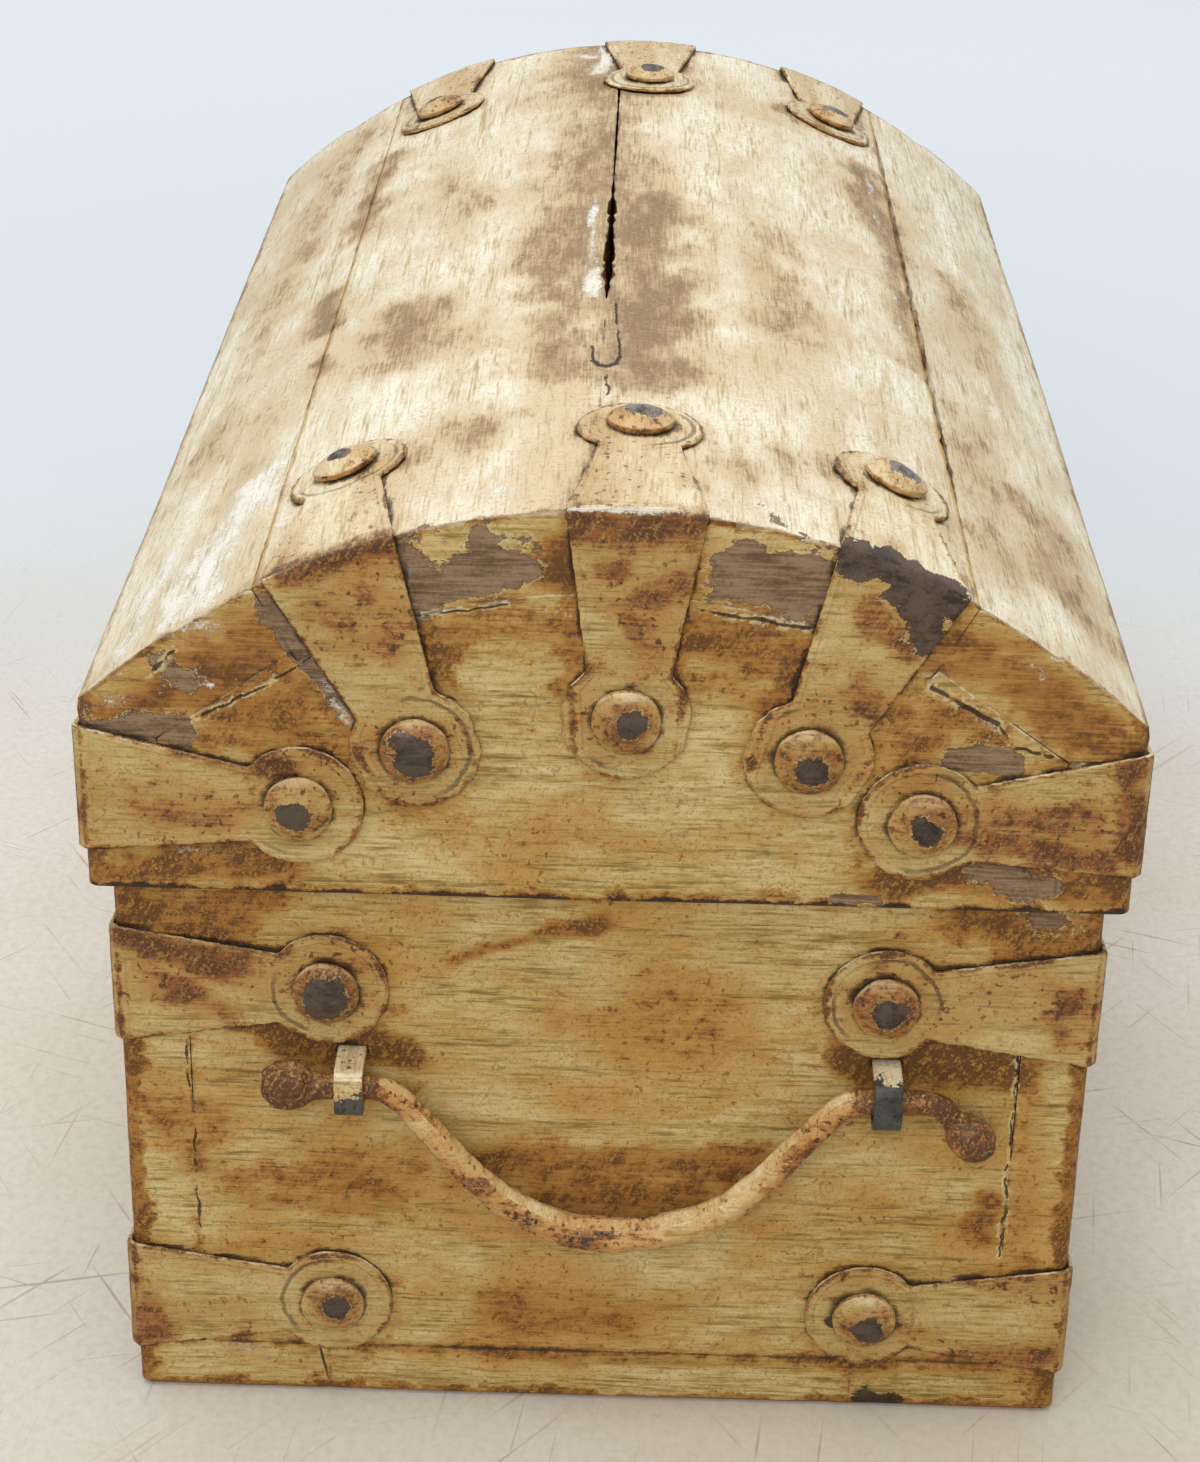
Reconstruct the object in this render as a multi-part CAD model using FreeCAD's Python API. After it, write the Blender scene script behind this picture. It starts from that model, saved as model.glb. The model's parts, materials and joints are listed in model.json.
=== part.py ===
import FreeCAD, Part

import os
from math import acos, asin, atan2, cos, degrees, pi, radians, sin, sqrt

# Dome-topped storage chest of painted boards, held together by folded iron straps.
#
# Millimetres. X runs along the chest, -Y is its front, +Z is up, and the origin is the middle
# of its underside. The left end is at -X. The lid turns on two pinned hinges at the back, and
# each end carries a swinging iron bail handle. Padlock eyes stand on the front.

V = FreeCAD.Vector
X, Y, Z = V(1, 0, 0), V(0, 1, 0), V(0, 0, 1)
ORIGIN = V(0, 0, 0)
LEFT, RIGHT, FRONT, BACK = -1, 1, -1, 1

# Outside sizes
lid_length = 356.0
lid_width = 204.0
carcass_height = 125.0
lid_overhang = 4.0  # lid past the carcass on all four sides
eave_height = 40.0  # lid's underside to the dome's lower edge
dome_rise = 42.0  # that edge to the crown
crown_radius = 140.2
eave_run = 34.0  # lid's side to the seam between its eave plank and the crown
eave_swell = 1.5  # an eave plank's rise over a straight line

# Boards
wall_board = 14.0
end_board = 14.0
floor_board = 12.5
floor_seam_back = 57.0  # centre line to the two seams in the floor
floor_seam_front = 54.0
rail_board = 15.0
rail_height = 33.0
lid_end_board = 14.0
crown_plank = 16.5
eave_plank = 14.5
board_gap = 0.3  # seam between neighbouring boards
corner_round = 2.5  # worn outer corners
edge_round = 1.2  # worn long edges

# Folded straps, each with a round pad at both ends
strap_sheet = 1.5
strap_fold_width = 27.0
strap_waist = 16.5
strap_pad = 25.0
strap_pad_flats = 14  # cuts of the shears round a pad
strap_reach_share = 0.412  # of half the lid's width, fold to the pad's centre
strap_fold_flat = 0.9  # cut off each leg, inside, by the flat along the fold
upper_strap_drop = 24.0  # below the carcass's top
lower_strap_height = 24.5
lid_strap_height = 22.0  # above the lid's underside
lid_strap_lean = 2.5  # pad's centre below the fold's
dome_strap_flats = 3  # a strap is hammered to the dome in this many flats
dome_strap_shares = {"back": 0.774, "middle": -0.052, "front": -0.774}  # of the way to a seam

# Forged nails
nail_head = 13.8
nail_height = 4.0
nail_flats = 10  # sides of the hammered head
nail_ring_shares = ((1.0, 0.0), (0.84, 0.62), (0.4, 1.0))  # of the head's radius and height
nail_shank = 3.2  # square under the head
nail_point = 1.4  # square at the tip
nail_depth = 11.0  # in the wood

# Hinges
hinge_inset = 93.0  # lid's end to the middle of a hinge
hinge_knuckle = 6.8
hinge_pin = 3.6
hinge_pin_head = 5.4
hinge_pin_head_height = 1.0
hinge_middle_knuckle = 9.0
hinge_upper_reach = 23.0  # pin to the upper pad's centre
hinge_straight = 6.0  # pin down to the step in the lower leaf
hinge_step = 5.0  # height of that step
hinge_roll = 0.2  # lower leaf's inner face, inside the knuckle's outermost line
hinge_flats = 12  # sides of a rolled knuckle and of a pin's head

# Bail handles
handle_swing_gap = 4.5  # lid's underside to the grip swung straight up
handle_shift = 3.0  # towards the front
handle_stand_off = 6.0  # end board to the pivot's axis
handle_arm = 6.4
handle_grip = 9.0
handle_drop = 34.5  # pivot's axis to the middle of the grip
handle_grip_bend_share = 0.7  # of the largest bend that the drop and the clasps leave room for
handle_shoulder_bend_share = 0.18
handle_neck_play = 4.5  # clasp to the neck of each knob
handle_knob = 11.0
handle_knob_length = 10.0
handle_knob_shares = ((0.2, 0.9), (0.5, 1.0), (0.8, 0.88), (1.0, 0.55))  # of its length and half width
handle_flats = 8  # sides of the forged bar
handle_bend_steps = 4
handle_droop = 50.0  # degrees that the front knob hangs down
handle_droop_bend = 7.0
handle_droop_neck = 2.5
clasp_spacing = 108.0
clasp_strip = 1.5
clasp_width = 6.0
clasp_room = 8.0  # inside height
clasp_fold_flat = 0.9  # cut off each side, inside, by the flat along a fold
clasp_depth = 11.0

# Padlock eyes
eye_wire = 4.0
eye_room = 8.0  # inside width
eye_reach = 7.0  # lid's face to the inside of the nose
eye_height = 6.0  # above and below the joint between lid and carcass
eye_depth = 11.0
eye_flats = 8
eye_bend_steps = 8

# Clearances
pin_clearance = 0.05
running_gap = 0.3
seat_gap = 0.05
overrun = 1.0

# Worked out
carcass_length = lid_length - 2 * lid_overhang
carcass_width = lid_width - 2 * lid_overhang
crown_height = carcass_height + eave_height + dome_rise
crown_centre = crown_height - crown_radius
crown_bore = crown_radius - crown_plank
fold_growth = 2 - sqrt(2)  # of the sheet, by which a fold's flat is longer outside than inside
seam_angle = degrees(asin((lid_width / 2 - eave_run) / crown_radius))
strap_reach = strap_reach_share * lid_width / 2
hinge_axis_y = lid_width / 2 + running_gap + hinge_knuckle / 2
handle_pivot_height = carcass_height - handle_swing_gap - handle_grip / 2 - handle_drop
handle_span = clasp_spacing / 2 - clasp_width / 2 - running_gap  # middle to each shoulder
handle_neck = clasp_spacing / 2 + clasp_width / 2 + handle_neck_play


def segment(a, b):
    """Straight edge between two points."""
    return Part.LineSegment(a, b).toShape()


def arc(a, b, c):
    """Round edge through three points."""
    return Part.Arc(a, b, c).toShape()


def face_of(edges):
    """Flat face inside a closed run of edges."""
    return Part.Face(Part.Wire(edges))


def polygon(points):
    """Flat face inside a closed run of points."""
    return Part.Face(Part.makePolygon(points + points[:1]))


def block(low, high):
    """Box between two opposite corners."""
    size = high - low
    return Part.makeBox(size.x, size.y, size.z, low)


def prism(face, origin, first, second, low, high):
    """Lay a face drawn in XY onto the axes first and second at origin, thick from low to high."""
    third = first.cross(second)
    start = origin + third * low
    solid = face.extrude(Z * (high - low))
    rows = FreeCAD.Matrix(
        first.x, second.x, third.x, start.x,
        first.y, second.y, third.y, start.y,
        first.z, second.z, third.z, start.z,
        0, 0, 0, 1,
    )
    solid.Placement = FreeCAD.Placement(rows)
    return solid


def stand(shape, foot, direction):
    """Copy of a shape drawn standing on +Z at the origin, moved to foot along direction."""
    placed = shape.copy()
    placed.Placement = FreeCAD.Placement(foot, FreeCAD.Rotation(Z, direction))
    return placed


def rounded(solid, radius, wanted):
    """Round the edges whose middle the test wanted accepts, if the solid has any."""
    edges = [e for e in solid.Edges if wanted(e.CenterOfMass)]
    return solid.makeFillet(radius, edges) if edges else solid


def bevelled(solid, size, wanted):
    """Cut flats along the edges whose middle the test wanted accepts."""
    return solid.makeChamfer(size, [e for e in solid.Edges if wanted(e.CenterOfMass)])


def near(value, target):
    """True where a measured place is the wanted one."""
    return abs(value - target) < board_gap


def mirrored(shape, side_x, side_y):
    """Shape drawn for the left front corner, brought to the corner that the sides name."""
    if side_x == RIGHT:
        shape = shape.mirror(ORIGIN, X)
    if side_y == BACK:
        shape = shape.mirror(ORIGIN, Y)
    return shape


def drilled(board, fasteners):
    """Board with a hole of their own shape for each fastener driven into it."""
    met = [f for f in fasteners if board.BoundBox.intersect(f.BoundBox)]
    return board.cut(Part.makeCompound(met)) if met else board


def on_crown(distance, angle):
    """Place at a distance from the dome's axis, at degrees from its crown towards the back."""
    turn = radians(angle)
    return V(0, distance * sin(turn), crown_centre + distance * cos(turn))


def carcass_wall(side):
    """Long wall board with worn upright corners."""
    half_length, outer = carcass_length / 2, carcass_width / 2
    board = block(V(-half_length, outer - wall_board, floor_board), V(half_length, outer, carcass_height))
    board = rounded(board, corner_round, lambda c: near(c.y, outer) and near(abs(c.x), half_length))
    return board if side == BACK else board.mirror(ORIGIN, Y)


def carcass_end(side):
    """Short wall board, held between the two long ones."""
    outer = carcass_length / 2
    half_width = carcass_width / 2 - wall_board - board_gap
    board = block(V(outer - end_board, -half_width, floor_board), V(outer, half_width, carcass_height))
    return board if side == RIGHT else board.mirror(ORIGIN, X)


def floor_plank(low_y, high_y):
    """Floor plank under the walls, worn round where it is an outside edge."""
    half_length, outer = carcass_length / 2, carcass_width / 2
    plank = block(V(-half_length, low_y, 0), V(half_length, high_y, floor_board))
    plank = rounded(plank, corner_round, lambda c: near(abs(c.y), outer) and near(abs(c.x), half_length))
    inside = half_length - corner_round

    def underside_outer(c):
        return near(c.z, 0) and (near(abs(c.y), outer) or abs(c.x) > inside)

    return bevelled(plank, edge_round, underside_outer)


def floor_planks():
    """The three planks of the floor, by name."""
    outer, half_gap = carcass_width / 2, board_gap / 2
    return {
        "floor_plank_front": floor_plank(-outer, -floor_seam_front - half_gap),
        "floor_plank_middle": floor_plank(-floor_seam_front + half_gap, floor_seam_back - half_gap),
        "floor_plank_back": floor_plank(floor_seam_back + half_gap, outer),
    }


def lid_corners(low, high):
    """Back half of the lid's outline between two heights, with its two worn corners."""
    half_length, outer = lid_length / 2, lid_width / 2
    half = block(V(-half_length, 0, low), V(half_length, outer, high))
    return rounded(half, corner_round, lambda c: near(c.y, outer) and near(abs(c.x), half_length))


def lid_rail(side):
    """Long upright board along the lid's lower edge."""
    top = carcass_height + rail_height
    inside = block(V(-lid_length, 0, 0), V(lid_length, lid_width / 2 - rail_board, crown_height))
    board = lid_corners(carcass_height, top).cut(inside)
    return board if side == BACK else board.mirror(ORIGIN, Y)


def eave_points():
    """Corners of the back eave plank's section: its rail seat, foot, lower edge and seam."""
    outer = lid_width / 2
    foot = V(0, outer, carcass_height + rail_height)
    lower = V(0, outer, carcass_height + eave_height)
    upper = on_crown(crown_radius, seam_angle)
    run = upper - lower
    along = V(run).normalize()
    inward = X.cross(along)
    # The inside face lies the plank's thickness in from the line between lower and upper.
    inner_start = lower + inward * eave_plank
    seat = inner_start + along * ((foot.z - inner_start.z) / along.z)
    radial = (on_crown(crown_bore, seam_angle) - upper).normalize()
    across = radial.dot(inward)
    inner = upper + radial * (eave_plank / across)
    swell = (lower + upper) / 2 - inward * eave_swell
    return seat, foot, lower, swell, upper, inner


def eave_plank_board(side):
    """Plank between a rail and the crown, swelling a little outwards."""
    seat, foot, lower, swell, upper, inner = eave_points()
    section = face_of([
        segment(seat, foot), segment(foot, lower), arc(lower, swell, upper),
        segment(upper, inner), segment(inner, seat),
    ])
    section.translate(V(-lid_length / 2, 0, 0))
    board = section.extrude(V(lid_length, 0, 0))
    board = rounded(board, edge_round, lambda c: near(c.y, lower.y) and near(c.z, lower.z))
    board = board.common(lid_corners(carcass_height, crown_height))
    return board if side == BACK else board.mirror(ORIGIN, Y)


def crown_plank_board(side):
    """Curved plank from the centre seam to the seam with the eave plank."""
    centre_start = degrees(board_gap / 2 / crown_radius)
    seam_end = seam_angle - degrees(board_gap / crown_radius)
    middle = (centre_start + seam_end) / 2
    section = face_of([
        arc(*(on_crown(crown_radius, a) for a in (centre_start, middle, seam_end))),
        segment(on_crown(crown_radius, seam_end), on_crown(crown_bore, seam_end)),
        arc(*(on_crown(crown_bore, a) for a in (seam_end, middle, centre_start))),
        segment(on_crown(crown_bore, centre_start), on_crown(crown_radius, centre_start)),
    ])
    section.translate(V(-lid_length / 2, 0, 0))
    board = section.extrude(V(lid_length, 0, 0))
    return board if side == BACK else board.mirror(ORIGIN, Y)


def lid_end(side):
    """Arched end board, under the planks and between the rails."""
    seat, _, _, _, upper, inner = eave_points()
    half_width = lid_width / 2 - rail_board - board_gap
    drop = V(0, 0, board_gap)
    shoulder = V(0, half_width, seat.z) - drop
    spring = inner - drop
    angle = degrees(atan2(spring.y, spring.z - crown_centre))
    haunch = on_crown(crown_bore - board_gap, angle)
    across = [V(p.x, -p.y, p.z) for p in (haunch, spring, shoulder)]
    section = face_of([
        segment(V(0, half_width, carcass_height), shoulder),
        segment(shoulder, spring),
        segment(spring, haunch),
        arc(haunch, on_crown(crown_bore - board_gap, 0), across[0]),
        segment(across[0], across[1]),
        segment(across[1], across[2]),
        segment(across[2], V(0, -half_width, carcass_height)),
        segment(V(0, -half_width, carcass_height), V(0, half_width, carcass_height)),
    ])
    section.translate(V(lid_length / 2 - lid_end_board, 0, 0))
    board = section.extrude(V(lid_end_board, 0, 0))
    return board if side == RIGHT else board.mirror(ORIGIN, X)


def strap_outline(reach, past=0.0, lean=0.0):
    """Flat outline of one leg of a strap, with its fold along Y and its pad out along X."""
    half_fold, half_waist, pad_radius = strap_fold_width / 2, strap_waist / 2, strap_pad / 2
    neck_turn = pi - asin(half_waist / pad_radius)
    turns = [neck_turn * (1 - 2 * i / strap_pad_flats) for i in range(strap_pad_flats + 1)]
    pad = [V(reach + pad_radius * cos(t), pad_radius * sin(t) - lean) for t in turns]
    fold = [V(0, -half_fold), V(-past, -half_fold), V(-past, half_fold), V(0, half_fold)]
    return polygon(pad + (fold if past else [fold[0], fold[-1]]))


def corner_strap(lean=0.0):
    """Strap folded round an upright corner at the origin, with the wood at +X and +Y."""
    leg = strap_reach + strap_pad
    half_height = strap_fold_width
    outer = block(V(-strap_sheet, -strap_sheet, -half_height), V(leg, leg, half_height))
    outer_flat = strap_fold_flat + strap_sheet * fold_growth
    outer = bevelled(outer, outer_flat, lambda c: c.x < 0 and c.y < 0)
    inner = block(V(0, 0, -half_height - overrun), V(leg + overrun, leg + overrun, half_height + overrun))
    inner = bevelled(inner, strap_fold_flat, lambda c: near(c.x, 0) and near(c.y, 0))
    outline = strap_outline(strap_reach, strap_sheet, lean)
    out = strap_sheet + overrun
    on_end = prism(outline, ORIGIN, Y, Z, -out, strap_fold_flat)
    on_side = prism(outline, ORIGIN, X, Z, -strap_fold_flat, out)
    return outer.cut(inner).common(on_end.fuse(on_side))


def dome_flats(radius, low_x, high_x):
    """Wedge of the dome under a strap between two places along X, with flats tangent to radius."""
    turn = degrees((strap_fold_width + 2 * overrun) / dome_strap_flats / crown_radius)
    corner = radius / cos(radians(turn / 2))
    edge = [on_crown(corner, turn * (i - dome_strap_flats / 2)) for i in range(dome_strap_flats + 1)]
    wedge = polygon([V(0, 0, crown_centre)] + edge)
    wedge.translate(X * low_x)
    return wedge.extrude(X * (high_x - low_x))


def dome_strap():
    """Strap over the left end of the crown, one leg along the dome and one down the end."""
    end_x = -lid_length / 2
    end = end_x + strap_reach + strap_pad
    face_x, core_top = end_x - strap_sheet, crown_centre + crown_bore
    outer = dome_flats(crown_radius + strap_sheet, face_x, end)
    outer = bevelled(outer, strap_sheet * fold_growth, lambda c: near(c.x, face_x) and c.z > core_top)
    inner = dome_flats(crown_radius, end_x, end + overrun)
    outline = strap_outline(strap_reach, strap_sheet)
    fold_dip = crown_radius - sqrt(crown_radius**2 - (strap_fold_width / 2 + overrun) ** 2)
    fold = V(end_x, 0, crown_height)
    on_top = prism(outline, fold, X, Y, -fold_dip, strap_sheet + overrun)
    on_end = prism(outline, fold, -Z, Y, -strap_sheet - overrun, 0)
    return outer.cut(inner).common(on_top.fuse(on_end))


def ring(place, first, second, radius, flats):
    """Corners of a regular polygon round a place, in the plane of the two directions."""
    turns = [2 * pi * i / flats for i in range(flats)]
    return [place + first * (radius * cos(t)) + second * (radius * sin(t)) for t in turns]


def skinned(rings):
    """Solid with flat facets through rings of as many corners each."""
    faces = [polygon(rings[0][::-1]), polygon(rings[-1])]
    for near_ring, far_ring in zip(rings, rings[1:]):
        for i in range(len(near_ring)):
            a, b, c, d = near_ring[i - 1], near_ring[i], far_ring[i], far_ring[i - 1]
            faces += [polygon([a, b, c]), polygon([a, c, d])]
    return Part.Solid(Part.Shell(faces)).removeSplitter()


def nail():
    """Hammered nail through a strap that lies on the wood at the origin, with its head at +Z."""
    head = skinned([
        ring(Z * (strap_sheet + nail_height * up), X, Y, nail_head / 2 * out, nail_flats)
        for out, up in nail_ring_shares
    ])
    tip, root = nail_point / 2, nail_shank / 2
    shank = Part.makeWedge(
        -tip, -nail_depth, -tip, -root, -root, tip, strap_sheet + nail_height / 2, tip, root, root
    )
    shank.rotate(ORIGIN, X, 90)
    return head.fuse(shank).removeSplitter()


def corner_nails(corner, lean=0.0):
    """The two nails of a strap on a left front corner."""
    pad = strap_reach
    on_end = stand(nail(), corner + V(0, pad, -lean), -X)
    on_side = stand(nail(), corner + V(pad, 0, -lean), -Y)
    return [on_end, on_side]


def dome_nails():
    """The two nails of a strap at the crown of the left end."""
    end_x = -lid_length / 2
    on_top = stand(nail(), V(end_x + strap_reach, 0, crown_height), Z)
    on_end = stand(nail(), V(end_x, 0, crown_height - strap_reach), -X)
    return [on_top, on_end]


def hinge_room(half_length, low, high):
    """Block round the hinge's pin between two heights, to cut knuckles apart."""
    return block(V(-half_length, 0, low), V(half_length, lid_width, high))


def hinge_bore():
    """Hole for the pin, longer than the hinge."""
    start = V(-strap_fold_width, hinge_axis_y, carcass_height)
    return Part.makeCylinder(hinge_pin / 2 + pin_clearance, 2 * strap_fold_width, start, X)


def rolled(start, length, radius):
    """Bar with flats round the hinge's axis, from start along X."""
    foot = V(start, hinge_axis_y, carcass_height)
    return polygon(ring(foot, Y, Z, radius, hinge_flats)).extrude(X * length)


def hinge_upper_leaf():
    """Leaf on the lid's back with the middle knuckle, drawn at X = 0."""
    foot = V(0, lid_width / 2, carcass_height)
    plate = prism(strap_outline(hinge_upper_reach), foot, Z, X, 0, strap_sheet)
    half_middle = hinge_middle_knuckle / 2
    room = carcass_height + hinge_knuckle / 2 + running_gap
    beside = hinge_room(strap_fold_width, carcass_height, room)
    plate = plate.cut(beside.cut(hinge_room(half_middle, carcass_height, room)))
    knuckle = rolled(-half_middle, hinge_middle_knuckle, hinge_knuckle / 2)
    return plate.fuse(knuckle).cut(hinge_bore()).removeSplitter()


def hinge_lower_leaf():
    """Leaf on the carcass's back, stepped out under the lid's overhang, drawn at X = 0."""
    wood = carcass_width / 2
    inside = hinge_axis_y - hinge_knuckle / 2 + hinge_roll
    step_top = carcass_height - hinge_straight
    step_foot = step_top - hinge_step
    bottom = carcass_height - strap_reach - strap_pad
    inner = [(inside, carcass_height), (inside, step_top), (wood, step_foot), (wood, bottom)]
    outer = [(y + strap_sheet, z) for y, z in reversed(inner)]
    section = polygon([V(-strap_fold_width, y, z) for y, z in inner + outer])
    sheet = section.extrude(V(2 * strap_fold_width, 0, 0))
    outline = prism(strap_outline(strap_reach), V(0, 0, carcass_height), -Z, X, -lid_width, 0)
    leaf = sheet.common(outline)
    half_middle = hinge_middle_knuckle / 2 + running_gap
    room = hinge_knuckle / 2 + running_gap
    leaf = leaf.cut(hinge_room(half_middle, carcass_height - room, carcass_height))
    knuckle_length = strap_fold_width / 2 - half_middle
    for start in (-strap_fold_width / 2, half_middle):
        leaf = leaf.fuse(rolled(start, knuckle_length, hinge_knuckle / 2))
    return leaf.cut(hinge_bore()).removeSplitter()


def hinge_pin_rod():
    """Pin with a hammered head at each end, drawn at X = 0."""
    end = strap_fold_width / 2
    pin = Part.makeCylinder(hinge_pin / 2, strap_fold_width, V(-end, hinge_axis_y, carcass_height), X)
    for start in (-end - hinge_pin_head_height, end):
        pin = pin.fuse(rolled(start, hinge_pin_head_height, hinge_pin_head / 2))
    return pin


def hinge_nails():
    """The nail of the lower leaf and that of the upper one, drawn at X = 0."""
    lower = stand(nail(), V(0, carcass_width / 2, carcass_height - strap_reach), Y)
    upper = stand(nail(), V(0, lid_width / 2, carcass_height + hinge_upper_reach), Y)
    return lower, upper


def padlock_eye(face_y, height):
    """Forged wire bent to an eye, its two legs driven into the front face at face_y."""
    half_span = (eye_room + eye_wire) / 2
    turn = -lid_width / 2 - eye_reach - eye_wire / 2 + half_span
    inside = face_y + eye_depth
    bends = [pi * i / eye_bend_steps for i in range(eye_bend_steps + 1)]
    stations = [(V(-half_span, inside, height), 0)]
    stations += [(V(-half_span * cos(b), turn - half_span * sin(b), height), b) for b in bends]
    stations.append((V(half_span, inside, height), pi))
    rings = [
        ring(place, X * cos(b) + Y * sin(b), Z, eye_wire / 2, eye_flats) for place, b in stations
    ]
    return skinned(rings)


def eye_holes(face_y, height):
    """Two holes in the wood for the legs of an eye."""
    half_span = (eye_room + eye_wire) / 2
    holes = []
    for x in (-half_span, half_span):
        mouth = ring(V(x, face_y - overrun, height), X, Z, eye_wire / 2 + seat_gap, eye_flats)
        holes.append(polygon(mouth).extrude(Y * (overrun + eye_depth + overrun)))
    return holes


def clasp(y):
    """Flat iron clasp round a handle's arm, its prongs driven into the left end board."""
    face_x = -carcass_length / 2
    bottom = handle_pivot_height - handle_arm / 2 - running_gap
    top = bottom + clasp_room
    nose = face_x - handle_stand_off - handle_arm / 2 - running_gap
    inside = face_x + clasp_depth
    low_y, high_y = y - clasp_width / 2, y + clasp_width / 2
    outer = block(V(nose - clasp_strip, low_y, bottom - clasp_strip), V(inside, high_y, top + clasp_strip))
    outer_flat = clasp_fold_flat + clasp_strip * fold_growth
    outer = bevelled(outer, outer_flat, lambda c: near(c.x, nose - clasp_strip) and near(c.y, y))
    inner = block(V(nose, low_y, bottom), V(inside, high_y, top))
    inner = bevelled(inner, clasp_fold_flat, lambda c: near(c.x, nose) and near(c.y, y))
    return outer.cut(inner)


def clasp_slots(y):
    """Slots in the left end board that a clasp's prongs fill."""
    face_x = -carcass_length / 2
    bottom = handle_pivot_height - handle_arm / 2 - running_gap
    slots = []
    for z in (bottom - clasp_strip, bottom + clasp_room):
        low = V(face_x - overrun, y - clasp_width / 2, z)
        slots.append(block(low, V(face_x + clasp_depth, y + clasp_width / 2, z + clasp_strip)))
    return slots


def bend_stations(centre, radius, start, end):
    """Stations along a bend of the bail, each a place and its heading in radians.

    A heading of 0 runs along +Y and turns towards +Z. The bend's centre lies to the left of the
    way along it, or to the right where radius is negative.
    """
    turns = [start + (end - start) * i / handle_bend_steps for i in range(handle_bend_steps + 1)]
    return [(centre + V(0, radius * sin(t), -radius * cos(t)), t) for t in turns]


def knob_stations(neck, heading, side):
    """Stations of a hammered knob from its neck outwards, with half thicknesses."""
    along = V(0, cos(heading), sin(heading)) * side
    return [(neck, heading, handle_arm / 2)] + [
        (neck + along * (handle_knob_length * out), heading, handle_knob / 2 * wide)
        for out, wide in handle_knob_shares
    ]


def grip_stations():
    """Stations from the middle of the bail's grip to its shoulder at the back.

    The slope between the two bends is the one that joins the grip's depth to the inner side
    of the clasp.
    """
    full_bend = (handle_span**2 + handle_drop**2) / (2 * handle_drop)
    grip_bend = handle_grip_bend_share * full_bend
    shoulder_bend = handle_shoulder_bend_share * full_bend
    bends = grip_bend + shoulder_bend
    lift = bends - handle_drop
    slope = atan2(handle_span, lift) - acos(bends / sqrt(handle_span**2 + lift**2))
    path = bend_stations(V(0, 0, grip_bend - handle_drop), grip_bend, 0, slope)
    path += bend_stations(V(0, handle_span, -shoulder_bend), -shoulder_bend, slope, 0)
    grip, arm = handle_grip / 2, handle_arm / 2
    return [(place, t, grip + (arm - grip) * place.y / handle_span) for place, t in path]


def hanging_knob_stations():
    """Stations from the front neck round its bend to the hanging knob's face."""
    droop, arm = radians(handle_droop), handle_arm / 2
    bend = bend_stations(V(0, -handle_neck, -handle_droop_bend), -handle_droop_bend, 0, droop)
    neck = bend[-1][0] - V(0, cos(droop), sin(droop)) * handle_droop_neck
    return [(place, t, arm) for place, t in bend] + knob_stations(neck, droop, FRONT)


def forged(stations):
    """Bar with flats through stations of a place, a heading and a half thickness."""
    return skinned([
        ring(place, X, V(0, -sin(heading), cos(heading)), half, handle_flats)
        for place, heading, half in stations
    ])


def handle():
    """Left bail handle: grip, a round arm through each clasp, a straight knob and a hanging one."""
    back = grip_stations()
    front = [(V(0, -place.y, place.z), -heading, half) for place, heading, half in back[1:]]
    bail = forged(front[::-1] + back)
    ends = [
        forged(hanging_knob_stations()[::-1]),
        forged(knob_stations(V(0, handle_neck, 0), 0, BACK)),
    ]
    for side in (FRONT, BACK):
        foot = V(0, side * handle_span, 0)
        ends.append(Part.makeCylinder(handle_arm / 2, handle_neck - handle_span, foot, Y * side))
    bail = bail.multiFuse(ends)
    bail.translate(V(-carcass_length / 2 - handle_stand_off, -handle_shift, handle_pivot_height))
    return bail


def build_straps():
    """Every strap by name with its nails, in a carcass list and a lid list."""
    carcass, lid = {}, {}
    carcass_corner = V(-carcass_length / 2, -carcass_width / 2, 0)
    lid_corner = V(-lid_length / 2, -lid_width / 2, carcass_height + lid_strap_height)
    levels = {"lower": lower_strap_height, "upper": carcass_height - upper_strap_drop}
    ends = {"left": LEFT, "right": RIGHT}
    sides = {"front": FRONT, "back": BACK}
    for end, side_x in ends.items():
        for side, side_y in sides.items():
            for level, height in levels.items():
                corner = carcass_corner + V(0, 0, height)
                strap = corner_strap()
                strap.translate(corner)
                nails = [mirrored(n, side_x, side_y) for n in corner_nails(corner)]
                carcass[f"carcass_strap_{end}_{side}_{level}"] = (mirrored(strap, side_x, side_y), nails)
            strap = corner_strap(lid_strap_lean)
            strap.translate(lid_corner)
            nails = [mirrored(n, side_x, side_y) for n in corner_nails(lid_corner, lid_strap_lean)]
            lid[f"lid_strap_{end}_{side}"] = (mirrored(strap, side_x, side_y), nails)
        for place, share in dome_strap_shares.items():
            pair = [dome_strap()] + dome_nails()
            for piece in pair:
                piece.rotate(V(0, 0, crown_centre), X, -share * seam_angle)
            pair = [mirrored(piece, side_x, FRONT) for piece in pair]
            lid[f"dome_strap_{end}_{place}"] = (pair[0], pair[1:])
    return carcass, lid


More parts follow.
